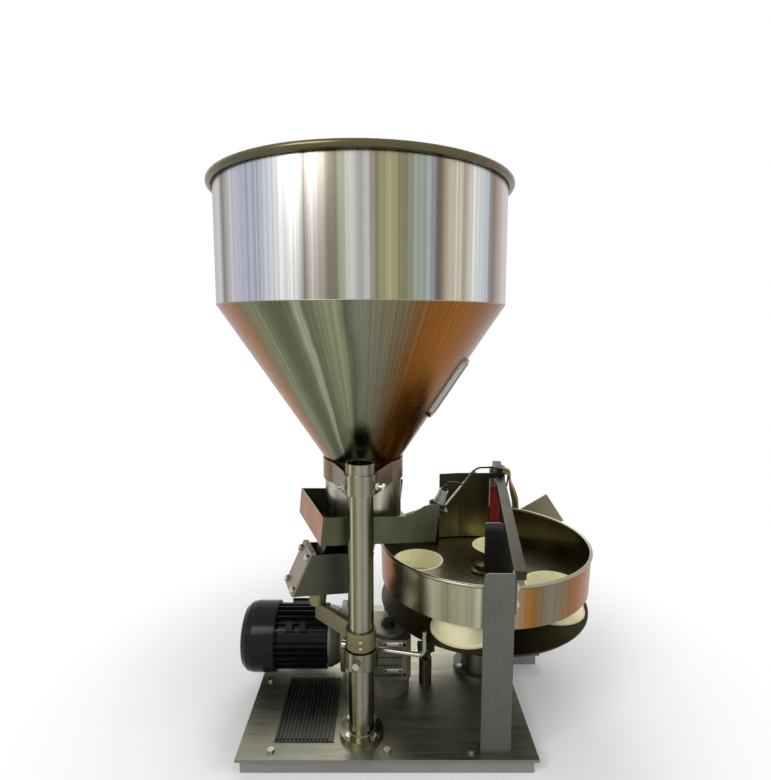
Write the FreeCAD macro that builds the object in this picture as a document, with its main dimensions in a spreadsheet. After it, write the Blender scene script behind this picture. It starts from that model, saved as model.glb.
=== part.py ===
import FreeCAD, Part
import Sketcher
import math
import os
import re

# Volumetric cup filler: a hopper on a post feeds a vibrating tray, the tray fills a rotating
# bowl, and four telescopic cups under the bowl measure the product. Millimetres, +Z up.
# The origin is on the underside of the base, straight below the hopper's axis.

DOC = FreeCAD.newDocument("cup_filler")
V = FreeCAD.Vector

SIZES = {
    # Base and deck
    "deck_left": 247, "deck_lip": 15, "deck_right": 353, "deck_far_right": 450,
    "deck_step": 128, "deck_margin": 22, "deck_thickness": 6, "base_height": 28,
    "base_wall": 3, "base_inset": 8, "base_lip": 25, "base_hole": 5.5,
    "rib_panel_width": 122, "rib_panel_length": 200, "rib_panel_x": -178, "rib_panel_y": -170,
    "rib_pitch": 8, "rib_width": 4, "rib_rise": 4, "rib_floor": 2,
    # Post and the collars on it
    "post_y": 142, "post_radius": 26, "post_wall": 3, "post_top": 612,
    "post_foot_radius": 45, "post_foot": 10, "post_foot_bolts": 35.5, "slip": 0.08, "touch": 0.25,
    "collar_radius": 33, "collar_bottom": 552, "collar_top": 592, "neck_radius": 29,
    "neck_top": 614, "ring_wall": 3.7, "ring_bottom": 548.5, "ring_height": 45, "bracket_bar": 4,
    "arm_collar_radius": 31, "arm_drop": 198, "arm_height": 38, "arm_bar": 12, "arm_reach": 148,
    "arm_turn": 134, "pad_radius": 19, "pad_length": 36,
    "clamp_radius": 34, "clamp_drop": 41, "clamp_height": 38, "clamp_gap": 4, "clamp_turn": -13,
    "ear_reach": 56, "ear_half": 14, "lever_offset": 43, "lever_lift": 8, "lever_radius": 5,
    "lever_left": 46, "lever_right": 124, "lever_rise": 54, "lever_bend": 12, "lever_knob": 9,
    # Hopper and its outlet
    "hopper_radius": 302, "hopper_corner": 922, "hopper_top": 1160, "sheet": 2,
    "spout_radius": 82, "spout_top": 589.6, "spout_bottom": 520, "rim_radius": 7.5,
    "sleeve_gap": 0.4, "sleeve_wall": 2.1, "sleeve_clear": 34, "sleeve_top": 574,
    # Vibrating feeder, in its own tilted frame
    "feeder_turn": 20.3, "feeder_tilt": 6.2, "feeder_height": 428,
    "tray_back": 126, "tray_front": 131, "tray_width": 213, "tray_side": 58, "tray_cheek": 84,
    "bracket_depth": 30, "bracket_width": 56, "bracket_front": 26.4, "bracket_rear": 86,
    "housing_top": 48, "housing_bottom": 138, "housing_rear": 123.5,
    "housing_lean": 31.5, "housing_width": 76, "housing_wall": 3, "cover_thickness": 4,
    "spring_thickness": 3, "spring_width": 50, "spring_lean": 24, "spring_foot": 22, "foot_width": 26,
    "core_width": 44, "core_length": 30, "core_height": 52, "core_x": -62, "coil_wall": 9,
    "coil_height": 26, "armature_thickness": 7, "armature_gap": 3, "armature_width": 48,
    # Drive
    "motor_y": 60, "motor_z": 128, "motor_left": -217, "motor_length": 132, "motor_core": 62,
    "fin_reach": 74, "fin_count": 28, "fin_thickness": 3, "fan_cover_radius": 81,
    "fan_cover_length": 81, "fan_cover_lap": 6, "fan_radius": 64, "shaft_radius": 12, "shield_radius": 70,
    "shield_length": 30, "motor_flange_radius": 80, "motor_flange": 10, "run": 0.05,
    "gear_x": 56, "gear_y": 12, "gear_half": 52, "gear_z": 80, "gear_height": 96,
    "gear_flange_radius": 50, "gear_lid_radius": 44, "gear_lid": 7, "worm_tube": 36,
    "drive_pulley_radius": 25, "driven_pulley_radius": 50, "pulley_z": 6, "pulley_width": 17,
    "belt_width": 13, "worm_reach": 49, "worm_flange": 70, "belt_thickness": 2.5, "pulley_lip": 3,
    # Bowl, cups and bottom plate
    "bowl_x": 286, "bowl_y": 76, "bowl_radius": 247, "bowl_taper": 3, "bowl_floor": 283,
    "bowl_rim": 367, "bowl_skirt": 278, "bead_radius": 4, "bowl_sheet": 2.5, "floor_sheet": 3,
    "cup_orbit": 165, "cup_radius": 60, "cup_wall": 3.4, "cup_turn": 67, "cup_bottom": 236,
    "cup_lip": 68, "sleeve_cup_wall": 6, "lower_cup_top": 272, "lower_cup_lip": 4,
    "carrier_radius": 245.6, "carrier_bottom": 221.5, "carrier_sheet": 3,
    "plate_radius": 240, "plate_bottom": 216, "plate_sheet": 5.2, "plate_hub": 38,
    "plate_hub_length": 34, "spindle_radius": 15, "spindle_top": 286, "column_radius": 28,
    "column_top": 206, "bearing_radius": 66, "bearing_flange": 12, "bearing_dome": 100,
    "bearing_bolts": 57, "hub_radius": 40, "hub_bottom": 240,
    "chute_radius": 70, "chute_mouth": 62, "chute_spout": 42, "chute_wall": 2, "chute_cone": 150,
    "chute_bottom": 22, "adjuster_x": 145, "adjuster_y": 21, "adjuster_radius": 15,
    "adjuster_top": 96, "screw_radius": 6, "screw_bottom": 58, "knob_radius": 22, "knob_z": 112,
    "knob_height": 16, "knob_lobe": 6,
    # Bridge over the bowl and what hangs from it
    "front_post_left": 238, "front_post_right": 298, "front_post_gap": 29, "front_post_top": 412,
    "bridge_sheet": 3, "front_post_flange": 15, "foot_reach": 26, "post_corner": 10,
    "beam_width": 24, "beam_depth": 20, "beam_sheet": 2, "beam_front_z": 411, "beam_rear_z": 490,
    "rear_post_x": 352, "rear_post_gap": 27, "rear_post_width": 46, "strap_width": 14,
    "guard_inset": 40,
    "baffle_left": 200, "baffle_fold": 255, "baffle_right": 341, "baffle_inset": 37,
    "baffle_bottom": 289, "baffle_top": 472, "baffle_sheet": 2, "baffle_swing": 10,
    "scraper_x": 300, "scraper_y": -80, "scraper_arc": 115, "scraper_from": 98,
    "scraper_to": 66, "scraper_bottom": 288, "scraper_sheet": 3, "brush_height": 12,
    "wiper_width": 26, "wiper_thickness": 6, "wiper_y": 228, "wiper_bottom": 296,
    # Level sensor
    "sensor_x": 165, "sensor_back": 158, "sensor_z": 395, "sensor_radius": 15, "sensor_length": 84,
    "sensor_lean": 21.8, "sensor_nut": 21, "sensor_nut_height": 9, "sensor_plate": 2,
    "sensor_grip": 38, "rod_radius": 3, "cable_radius": 2.5, "bundle_radius": 9,
    # Fasteners
    "bolt_radius": 4, "bolt_head": 7.5, "bolt_head_height": 5.3, "bolt_clearance": 0.3,
}

# Places that keep a named distance from another size
PLACES = {
    "arm_bottom": "(feeder_height - arm_drop)",
    "clamp_bottom": "(feeder_height - arm_drop - clamp_drop)",
    "lever_height": "(feeder_height - arm_drop - clamp_drop + lever_lift)",
    "sleeve_bottom": "(feeder_height + sleeve_clear)",
    "baffle_y": "(bowl_y + bowl_radius - baffle_inset)",
    "front_post_y": "(bowl_y - bowl_radius - front_post_gap)",
    "rear_post_y": "(bowl_y + bowl_radius + rear_post_gap)",
    "deck_front": "(bowl_radius - bowl_y + front_post_gap + deck_lip)",
    "deck_back": "(bowl_y + bowl_radius + rear_post_gap + deck_margin)",
    "guard_y": "(rear_post_y - guard_inset)",
    "sensor_y": "(baffle_y - sensor_back)",
}

SHEET = DOC.addObject("Spreadsheet::Sheet", "Sizes")
for row, (alias, number) in enumerate(SIZES.items(), start=1):
    SHEET.set(f"A{row}", alias)
    SHEET.set(f"B{row}", str(number))
    SHEET.setAlias(f"B{row}", alias)
DOC.recompute()

DECK_TOP = "(base_height + deck_thickness)"
SLEEVE_INNER = "(spout_radius + sleeve_gap)"
SLEEVE_OUTER = "(spout_radius + sleeve_gap + sleeve_wall)"
RING_INNER = "(spout_radius + 2 * sleeve_gap + sleeve_wall)"
POST_BORE = "(post_radius + slip)"
CUP_OUTER = "(cup_radius + cup_wall)"
LOWER_INNER = "(cup_radius + cup_wall + sleeve_gap)"
LOWER_OUTER = "(cup_radius + cup_wall + sleeve_gap + sleeve_cup_wall)"
PLATE_TOP = "(plate_bottom + plate_sheet)"
FLOOR_TOP = "(bowl_floor + floor_sheet)"
WORD = re.compile(r"[a-z][a-z_0-9]*")
FUNCTIONS = ("sin", "cos", "tan", "sqrt", "atan", "hypot")
PARTS = []


def spelled(expression):
    """The expression with each place written out in sizes."""
    text = str(expression)
    while any(word in PLACES for word in WORD.findall(text)):
        text = WORD.sub(lambda m: PLACES.get(m.group(0), m.group(0)), text)
    return text


def bound(expression):
    """The expression with each size read from the sheet."""
    return WORD.sub(lambda m: "Sizes." + m.group(0) if m.group(0) in SIZES else m.group(0),
                    spelled(expression))


def size(expression):
    """The expression's present value."""
    return float(SHEET.evalExpression(spelled(expression)))


def tie(item, name, expression):
    """Set a property and bind it to the sheet."""
    item.setExpression(name, bound(expression))


def place(item, x=0, y=0, z=0, turn=0, axis=V(0, 0, 1)):
    """Place an object, with its base bound to the sheet."""
    item.Placement = FreeCAD.Placement(V(size(x), size(y), size(z)), FreeCAD.Rotation(axis, turn))
    for name, expression in (("x", x), ("y", y), ("z", z)):
        tie(item, "Placement.Base." + name, expression)


def part(item, label):
    """Name a finished sub-part, to be written out under its label."""
    item.Label = label
    PARTS.append(item)
    return item


# Bodies with sketches


def new_body(name, x=0, y=0, z=0, turn=0):
    body = DOC.addObject("PartDesign::Body", name + "_body")
    place(body, x, y, z, turn)
    return body


def sketch(body, name, role="XY_Plane", lift=None):
    """A sketch on one of the body's own origin planes, lifted along its normal."""
    plane = [f for f in body.Origin.OriginFeatures if f.Role == role][0]
    drawing = body.newObject("Sketcher::SketchObject", name)
    drawing.AttachmentSupport = [(plane, "")]
    drawing.MapMode = "FlatFace"
    if lift is not None:
        drawing.AttachmentOffset = FreeCAD.Placement(V(0, 0, size(lift)), FreeCAD.Rotation())
        tie(drawing, "AttachmentOffset.Base.z", lift)
    return drawing


def pin_point(drawing, line, end, x, y):
    """Hold one end of a line at a point given by two expressions."""
    for kind, expression, own_axis in (("DistanceX", x, -2), ("DistanceY", y, -1)):
        number = size(expression)
        if abs(number) < 1e-9:
            drawing.addConstraint(Sketcher.Constraint("PointOnObject", line, end, own_axis))
        else:
            index = drawing.addConstraint(
                Sketcher.Constraint(kind, -1, 1, line, end, number))
            tie(drawing, f"Constraints[{index}]", expression)


def outline(drawing, points):
    """A closed outline of straight lines through points given as pairs of expressions."""
    spots = [V(size(x), size(y), 0) for x, y in points]
    first = drawing.GeometryCount
    count = len(points)
    for i in range(count):
        drawing.addGeometry(Part.LineSegment(spots[i], spots[(i + 1) % count]), False)
    for i in range(count):
        drawing.addConstraint(Sketcher.Constraint(
            "Coincident", first + i, 2, first + (i + 1) % count, 1))
    for i, (x, y) in enumerate(points):
        pin_point(drawing, first + i, 1, x, y)


def circle(drawing, x, y, radius):
    """A full circle with its centre and radius bound."""
    index = drawing.addGeometry(
        Part.Circle(V(size(x), size(y), 0), V(0, 0, 1), size(radius)), False)
    if abs(size(x)) < 1e-9 and abs(size(y)) < 1e-9:
        drawing.addConstraint(Sketcher.Constraint("Coincident", index, 3, -1, 1))
    else:
        pin_point(drawing, index, 3, x, y)
    mark = drawing.addConstraint(Sketcher.Constraint("Radius", index, size(radius)))
    tie(drawing, f"Constraints[{mark}]", radius)


def rectangle(drawing, left, right, low, high):
    outline(drawing, [(left, low), (right, low), (right, high), (left, high)])


def pad(body, drawing, length, name, symmetric=False):
    feature = body.newObject("PartDesign::Pad", name)
    feature.Profile = drawing
    feature.Length = size(length)
    tie(feature, "Length", length)
    if symmetric:
        feature.SideType = "Symmetric"
    return feature


def pocket(body, drawing, name, length=None, reverse=False, symmetric=False):
    """Cut a sketch through the body, or to a depth; the volume has to fall."""
    DOC.recompute()
    before = body.Shape.Volume
    feature = body.newObject("PartDesign::Pocket", name)
    feature.Profile = drawing
    if length is None:
        feature.Type = "ThroughAll"
    else:
        feature.Length = size(length)
        tie(feature, "Length", length)
    feature.Reversed = reverse
    if symmetric:
        feature.SideType = "Symmetric"
    DOC.recompute()
    if body.Shape.Volume > before - 1e-6:
        raise ValueError("pocket " + name + " cuts nothing")
    return feature


def spin(body, drawing, name, cut=False):
    """Turn a sketch on the XZ plane about the body's own Z axis."""
    feature = body.newObject("PartDesign::Groove" if cut else "PartDesign::Revolution", name)
    feature.Profile = drawing
    feature.ReferenceAxis = (drawing, ["V_Axis"])
    feature.Angle = 360
    return feature


def polar(body, feature, count, axis="Z_Axis"):
    """Repeat a feature around one of the body's own axes."""
    line = [f for f in body.Origin.OriginFeatures if f.Role == axis][0]
    pattern = body.newObject("PartDesign::PolarPattern", feature.Name + "_ring")
    pattern.Originals = [feature]
    pattern.Axis = (line, [""])
    pattern.Angle = 360
    pattern.Occurrences = count
    body.Tip = pattern
    return pattern


def turned(name, points, x=0, y=0, z=0):
    """A body turned from one outline in the XZ plane."""
    body = new_body(name, x, y, z)
    drawing = sketch(body, name + "_profile", "XZ_Plane")
    outline(drawing, points)
    spin(body, drawing, name + "_turn")
    return body


# Primitives and booleans


def box(name, length, width, height, x=0, y=0, z=0):
    item = DOC.addObject("Part::Box", name)
    for key, expression in (("Length", length), ("Width", width), ("Height", height)):
        tie(item, key, expression)
    place(item, x, y, z)
    return item


def cylinder(name, radius, height, x=0, y=0, z=0, turn=0, axis=V(0, 0, 1)):
    item = DOC.addObject("Part::Cylinder", name)
    tie(item, "Radius", radius)
    tie(item, "Height", height)
    place(item, x, y, z, turn, axis)
    return item


def hexagon(name, radius, height, x=0, y=0, z=0):
    item = DOC.addObject("Part::Prism", name)
    item.Polygon = 6
    tie(item, "Circumradius", radius)
    tie(item, "Height", height)
    place(item, x, y, z)
    return item


def cut(name, base, tool):
    item = DOC.addObject("Part::Cut", name)
    item.Base = base
    item.Tool = tool
    return item


def fuse(name, members):
    item = DOC.addObject("Part::MultiFuse", name)
    item.Shapes = members
    return item


def group(name, members):
    item = DOC.addObject("Part::Compound", name)
    item.Links = members
    return item


def ring(name, outer, inner, height, x=0, y=0, z=0):
    """A plain tube, standing on z."""
    return cut(name, cylinder(name + "_outer", outer, height, x, y, z),
               cylinder(name + "_inner", inner, height, x, y, z))


def moved(item, placement):
    """Put a finished object where a local frame says, in place of its own bound position."""
    for name in ("x", "y", "z"):
        item.setExpression("Placement.Base." + name, None)
    item.Placement = placement
    return item


def hex_bolt(name, length):
    """A bolt along Z: its head's underside is at zero and its shank points down."""
    head = hexagon(name + "_head", "bolt_head", "bolt_head_height")
    shank = cylinder(name + "_shank", "bolt_radius", f"{length} + 1", 0, 0, f"-({length})")
    return fuse(name, [head, shank])


def bolts_down(name, spots):
    """Vertical hexagon bolts at x, y, z, each with its shank length."""
    members = []
    for i, (x, y, z, length) in enumerate(spots):
        bolt = hex_bolt(f"{name}_{i}", length)
        place(bolt, x, y, z)
        members.append(bolt)
    return members


def feeder_frame():
    """The feeder's own frame: x along the tray, z square to its floor, origin under the hopper."""
    turn = FreeCAD.Rotation(V(0, 0, 1), size("feeder_turn"))
    tilt = FreeCAD.Rotation(V(0, 1, 0), size("feeder_tilt"))
    return FreeCAD.Placement(V(0, 0, size("feeder_height")), turn.multiply(tilt))


def in_feeder(x=0, y=0, z=0, rotation=None):
    local = FreeCAD.Placement(V(size(x), size(y), size(z)), rotation or FreeCAD.Rotation())
    return feeder_frame().multiply(local)


def on_post(x=0, y=0, z=0, rotation=None):
    """The support collar's frame, turned about the post."""
    base = FreeCAD.Placement(V(0, -size("post_y"), 0),
                             FreeCAD.Rotation(V(0, 0, 1), size("clamp_turn")))
    local = FreeCAD.Placement(V(size(x), size(y), size(z)), rotation or FreeCAD.Rotation())
    return base.multiply(local)


# Base


def deck_outline(inset):
    """The deck's edge, a rectangle with a step at the right, moved in by an inset."""
    left, front = f"-(deck_left - ({inset}))", f"-(deck_front - ({inset}))"
    right, far = f"deck_right - ({inset})", f"deck_far_right - ({inset})"
    step, back = f"deck_step + ({inset})", f"deck_back - ({inset})"
    return [(left, front), (right, front), (right, step), (far, step), (far, back), (left, back)]


def base_corners():
    inset = "(base_inset + base_wall + base_lip / 2)"
    left, right = f"-(deck_left - {inset})", f"deck_right - {inset}"
    front, back = f"-(deck_front - {inset})", f"deck_back - {inset}"
    return [(left, front), (right, front), (right, back), (left, back)]


def base_frame():
    body = new_body("base_frame")
    drawing = sketch(body, "base_edge")
    outline(drawing, deck_outline("base_inset"))
    pad(body, drawing, "base_height", "base_block")
    inner = sketch(body, "base_inside", lift="base_wall")
    outline(inner, deck_outline("base_inset + base_wall"))
    pocket(body, inner, "base_hollow", "base_height - 2 * base_wall", reverse=True)
    opening = sketch(body, "base_opening")
    outline(opening, deck_outline("base_inset + base_wall + base_lip"))
    pocket(body, opening, "base_window", reverse=True)
    holes = sketch(body, "base_holes")
    for x, y in base_corners():
        circle(holes, x, y, "base_hole")
    pocket(body, holes, "base_drilling", "base_wall + 1", reverse=True)
    return part(body, "base_frame")


def deck_bolt_spots():
    """Screws that hold the deck to the frame's walls, just inside the edge."""
    inset = "(base_inset + 14)"
    left, right = f"-(deck_left - {inset})", f"deck_right - {inset}"
    front, back = f"-(deck_front - {inset})", f"deck_back - {inset}"
    middle = "(deck_right - deck_left) / 2"
    near_left, near_right = f"{left} + 45", f"{right} - 45"
    return [(near_left, front), (middle, front), (f"{right} - 110", front), (left, "23"),
            (left, "deck_back / 2"), (near_left, back), (middle, back), (near_right, back)]


def foot_bolt_spots():
    """Bolts through the feet of the bridge's two posts."""
    front = "front_post_y + foot_reach / 2 + 1"
    return [("front_post_left + 14", front), ("front_post_right - 18", front),
            ("rear_post_x + rear_post_width / 2 + 2", "rear_post_y - bridge_sheet - 9")]


def cup_place(index):
    """The centre of a cup's station on the bowl, as a pair of expressions."""
    angle = f"(cup_turn + {90 * index})"
    return (f"bowl_x + cup_orbit * cos({angle} * 1deg)", f"bowl_y + cup_orbit * sin({angle} * 1deg)")


def circle_spots(x, y, radius, count, start):
    """Points on a bolt circle, as pairs of expressions."""
    return [(f"{x} + {radius} * cos({start + 360 * i / count} * 1deg)",
             f"{y} + {radius} * sin({start + 360 * i / count} * 1deg)") for i in range(count)]


def deck_plate():
    body = new_body("deck_plate", 0, 0, "base_height")
    drawing = sketch(body, "deck_edge")
    outline(drawing, deck_outline("0"))
    pad(body, drawing, "deck_thickness", "deck_sheet")
    holes = sketch(body, "deck_holes")
    circle(holes, "bowl_x", "bowl_y", "spindle_radius + 4")
    circle(holes, "gear_x", "gear_y", "shaft_radius + 4")
    circle(holes, *cup_place(0), "chute_spout + 10")
    spots = deck_bolt_spots() + circle_spots("0", "-post_y", "post_foot_bolts", 4, 45)
    spots += circle_spots("bowl_x", "bowl_y", "bearing_bolts", 4, 20) + foot_bolt_spots()
    for x, y in spots:
        circle(holes, x, y, "bolt_radius + bolt_clearance")
    pocket(body, holes, "deck_drilling", reverse=True)
    return part(body, "deck_plate")


def ribbed_panel():
    body = new_body("ribbed_panel", "rib_panel_x", "rib_panel_y", DECK_TOP)
    drawing = sketch(body, "panel_edge")
    rectangle(drawing, "0", "rib_panel_width", "0", "rib_panel_length")
    pad(body, drawing, "rib_floor", "panel_sheet")
    rib = sketch(body, "panel_rib", lift="rib_floor")
    rectangle(rib, "2", "2 + rib_width", "4", "rib_panel_length - 4")
    first = pad(body, rib, "rib_rise", "rib")
    row = body.newObject("PartDesign::LinearPattern", "rib_row")
    row.Originals = [first]
    line = [f for f in body.Origin.OriginFeatures if f.Role == "X_Axis"][0]
    row.Direction = (line, [""])
    row.Mode = "Spacing"
    tie(row, "Offset", "rib_pitch")
    row.Occurrences = int((size("rib_panel_width") - 4) // size("rib_pitch"))
    body.Tip = row
    return part(body, "ribbed_panel")


def deck_bolts():
    depth = "deck_thickness"
    spots = [(x, y, DECK_TOP, depth) for x, y in deck_bolt_spots()]
    foot = f"{DECK_TOP} + post_foot"
    spots += [(x, y, foot, "deck_thickness + post_foot")
              for x, y in circle_spots("0", "-post_y", "post_foot_bolts", 4, 45)]
    flange = f"{DECK_TOP} + bearing_flange"
    spots += [(x, y, flange, "deck_thickness + bearing_flange")
              for x, y in circle_spots("bowl_x", "bowl_y", "bearing_bolts", 4, 20)]
    spots += [(x, y, f"{DECK_TOP} + bridge_sheet", "deck_thickness + bridge_sheet")
              for x, y in foot_bolt_spots()]
    return part(group("deck_bolts", bolts_down("deck_bolt", spots)), "deck_bolts")


# Post and collars


def post():
    body = new_body("post", 0, "-post_y", DECK_TOP)
    tube = sketch(body, "post_tube")
    circle(tube, "0", "0", "post_radius")
    pad(body, tube, f"post_top - {DECK_TOP}", "post_length")
    foot = sketch(body, "post_foot_edge")
    circle(foot, "0", "0", "post_foot_radius")
    pad(body, foot, "post_foot", "post_foot_plate")
    bore = sketch(body, "post_bore")
    circle(bore, "0", "0", "post_radius - post_wall")
    pocket(body, bore, "post_hollow", reverse=True)
    holes = sketch(body, "post_foot_holes")
    for x, y in circle_spots("0", "0", "post_foot_bolts", 4, 45):
        circle(holes, x, y, "bolt_radius + bolt_clearance")
    pocket(body, holes, "post_foot_drilling", "post_foot + 1", reverse=True)
    return part(body, "post")


def hopper_bracket():
    """The ring under the hopper, two bars and the collar on the post, welded as one piece."""
    body = new_body("hopper_bracket", 0, 0, "ring_bottom")
    ring_edge = sketch(body, "bracket_ring")
    circle(ring_edge, "0", "0", f"{RING_INNER} + ring_wall")
    pad(body, ring_edge, "ring_height", "bracket_ring_pad")
    for side, name in ((-1, "left"), (1, "right")):
        bar = sketch(body, "bracket_bar_" + name)
        near = f"{side} * (collar_radius - 1)"
        inner = f"{side} * (collar_radius - 1 - bracket_bar)"
        far = f"{side} * ({RING_INNER} + ring_wall - 1)"
        far_inner = f"{side} * ({RING_INNER} + ring_wall - 1 - bracket_bar)"
        outline(bar, [(near, "-post_y"), (far, "0"), (far_inner, "0"), (inner, "-post_y")])
        pad(body, bar, "ring_height", "bracket_bar_pad_" + name)
    collar = sketch(body, "bracket_collar", lift="collar_bottom - ring_bottom")
    circle(collar, "0", "-post_y", "collar_radius")
    pad(body, collar, "collar_top - collar_bottom", "bracket_collar_pad")
    neck = sketch(body, "bracket_neck", lift="collar_top - ring_bottom")
    circle(neck, "0", "-post_y", "neck_radius")
    pad(body, neck, "neck_top - collar_top", "bracket_neck_pad")
    bores = sketch(body, "bracket_bores")
    circle(bores, "0", "0", RING_INNER)
    circle(bores, "0", "-post_y", POST_BORE)
    pocket(body, bores, "bracket_boring", reverse=True)
    return part(body, "hopper_bracket")


def radial_bolt(name, angle, centre_x, centre_y, z, seat, tip):
    """A bolt that points at the post, its head's underside at the seat radius."""
    bolt = hex_bolt(name, f"{seat} - ({tip})")
    direction = V(math.cos(math.radians(angle)), math.sin(math.radians(angle)), 0)
    turn = FreeCAD.Rotation(V(0, 0, 1), direction)
    base = V(size(centre_x), size(centre_y), size(z)) + direction * size(seat)
    bolt.Placement = FreeCAD.Placement(base, turn)
    return bolt


def feeder_arm():
    """Collar and flat bar that carry the feeder, with the round pad under its housing."""
    collar = cylinder("arm_collar", "arm_collar_radius", "arm_height", 0, "-post_y", "arm_bottom")
    bar = box("arm_flat", "arm_reach", "arm_bar", "arm_height")
    turn = FreeCAD.Rotation(V(0, 0, 1), size("arm_turn"))
    middle = turn.multVec(V(0, size("arm_bar") / 2, 0))
    moved(bar, FreeCAD.Placement(V(0, -size("post_y"), size("arm_bottom")) - middle, turn))
    pad_block = cylinder("arm_pad", "pad_radius", "pad_length")
    moved(pad_block, in_feeder("-91", "0", "-(housing_bottom + pad_length)"))
    bore = cylinder("arm_bore", POST_BORE, "arm_height + 2", 0, "-post_y", "arm_bottom - 1")
    solid = fuse("arm_solid", [collar, bar, pad_block])
    return part(cut("feeder_arm", solid, bore), "feeder_arm")


def support_collar():
    """Split clamp on the post: its ears point back and the lever's rod runs through them."""
    body = DOC.addObject("PartDesign::Body", "support_collar_body")
    body.Placement = on_post(0, 0, "clamp_bottom")
    edge = sketch(body, "clamp_edge")
    circle(edge, "0", "0", "clamp_radius")
    pad(body, edge, "clamp_height", "clamp_disc")
    ears = sketch(body, "clamp_ears")
    rectangle(ears, "-ear_half", "ear_half", "clamp_radius - 12", "ear_reach")
    pad(body, ears, "clamp_height", "clamp_ear_pad")
    bore = sketch(body, "clamp_bore")
    circle(bore, "0", "0", POST_BORE)
    pocket(body, bore, "clamp_boring", reverse=True)
    gap = sketch(body, "clamp_slot")
    rectangle(gap, "-clamp_gap / 2", "clamp_gap / 2", "post_radius - 2", "ear_reach + 1")
    pocket(body, gap, "clamp_gap_cut", reverse=True)
    rod = sketch(body, "clamp_rod_hole", "YZ_Plane")
    circle(rod, "lever_offset", "lever_height - clamp_bottom", "lever_radius + run")
    pocket(body, rod, "clamp_rod_cut", "4 * ear_half", symmetric=True)
    boss = sketch(body, "clamp_boss", "XZ_Plane", lift="post_radius + 2")
    circle(boss, "0", "clamp_height / 2", "bolt_head + 1.5")
    pad(body, boss, "clamp_radius - post_radius + 1", "clamp_boss_pad")
    return part(body, "support_collar")


def lock_screws():
    """Two screws with lock nuts that clamp the hopper's collar on the post."""
    members = []
    for index, angle in enumerate((198, -18)):
        name = f"lock_screw_{index}"
        bolt = radial_bolt(name, angle, "0", "-post_y", "collar_bottom + 16",
                           "collar_radius + 14", "collar_radius + 0.1")
        direction = V(math.cos(math.radians(angle)), math.sin(math.radians(angle)), 0)
        nut = hexagon(name + "_nut", "bolt_head", "bolt_head_height")
        spot = V(0, -size("post_y"), size("collar_bottom + 16"))
        moved(nut, FreeCAD.Placement(spot + direction * size("collar_radius + 0.1"),
                                     FreeCAD.Rotation(V(0, 0, 1), direction)))
        members.append(fuse(name + "_set", [bolt, nut]))
    return members


def collar_screws():
    """Lock screws, the bolt on the support collar's boss and the arm's two set screws."""
    turn = size("clamp_turn")
    seat = "clamp_radius + 3.6"
    bolt = radial_bolt("collar_bolt", turn - 90, "0", "-post_y",
                       "clamp_bottom + clamp_height / 2", seat, f"{seat} - 0.5")
    members = lock_screws() + [bolt]
    for index, share in enumerate(("arm_height * 0.3", "arm_height * 0.66")):
        screw = cylinder(f"set_screw_{index}", "bolt_radius * 0.75", "3")
        direction = V(0, -1, 0)
        spot = V(0, -size("post_y"), size("arm_bottom + " + share))
        moved(screw, FreeCAD.Placement(spot + direction * size("arm_collar_radius"),
                                       FreeCAD.Rotation(V(0, 0, 1), direction)))
        members.append(screw)
    return part(group("collar_screws", members), "collar_screws")


def clamp_lever():
    """The bent rod that tightens the support collar, with the round knob at its left end."""
    along = FreeCAD.Rotation(V(0, 0, 1), V(1, 0, 0))
    rod = cylinder("lever_rod", "lever_radius", "lever_left + lever_right - lever_bend")
    moved(rod, on_post("-lever_left", "lever_offset", "lever_height", along))
    bend = DOC.addObject("Part::Torus", "lever_elbow")
    tie(bend, "Radius1", "lever_bend")
    tie(bend, "Radius2", "lever_radius")
    bend.Angle3 = 90
    stand = FreeCAD.Rotation(V(1, 0, 0), 90).multiply(FreeCAD.Rotation(V(0, 0, 1), -90))
    moved(bend, on_post("lever_right - lever_bend", "lever_offset",
                        "lever_height + lever_bend", stand))
    grip = cylinder("lever_grip", "lever_radius", "lever_rise - lever_bend")
    moved(grip, on_post("lever_right", "lever_offset", "lever_height + lever_bend"))
    knob = cylinder("lever_knob", "lever_knob", "lever_knob")
    moved(knob, on_post("-lever_left - lever_knob + 1", "lever_offset", "lever_height", along))
    return part(fuse("clamp_lever", [rod, bend, grip, knob]), "clamp_lever")


# Hopper


def hopper():
    """Cylinder, cone and spout in one sheet, with the rolled rim on top."""
    drop = "sheet"
    points = [
        ("spout_radius - sheet", "spout_bottom"), ("spout_radius", "spout_bottom"),
        ("spout_radius", "spout_top"), ("hopper_radius", "hopper_corner"),
        ("hopper_radius", "hopper_top"), ("hopper_radius - sheet", "hopper_top"),
        ("hopper_radius - sheet", f"hopper_corner + {drop} * 0.5"),
        ("spout_radius - sheet", f"spout_top + {drop} * 0.5")]
    body = turned("hopper", points)
    rim = sketch(body, "hopper_rim", "XZ_Plane")
    circle(rim, "hopper_radius + rim_radius - sheet", "hopper_top", "rim_radius")
    spin(body, rim, "hopper_rim_roll")
    return part(body, "hopper")


def outlet_sleeve():
    tube = ring("outlet_sleeve", SLEEVE_OUTER, SLEEVE_INNER, "sleeve_top - sleeve_bottom",
                0, 0, "sleeve_bottom")
    return part(tube, "outlet_sleeve")


# Vibrating feeder


def feeder_body(name, z="0"):
    body = DOC.addObject("PartDesign::Body", name + "_body")
    body.Placement = in_feeder(0, 0, z)
    return body


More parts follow.
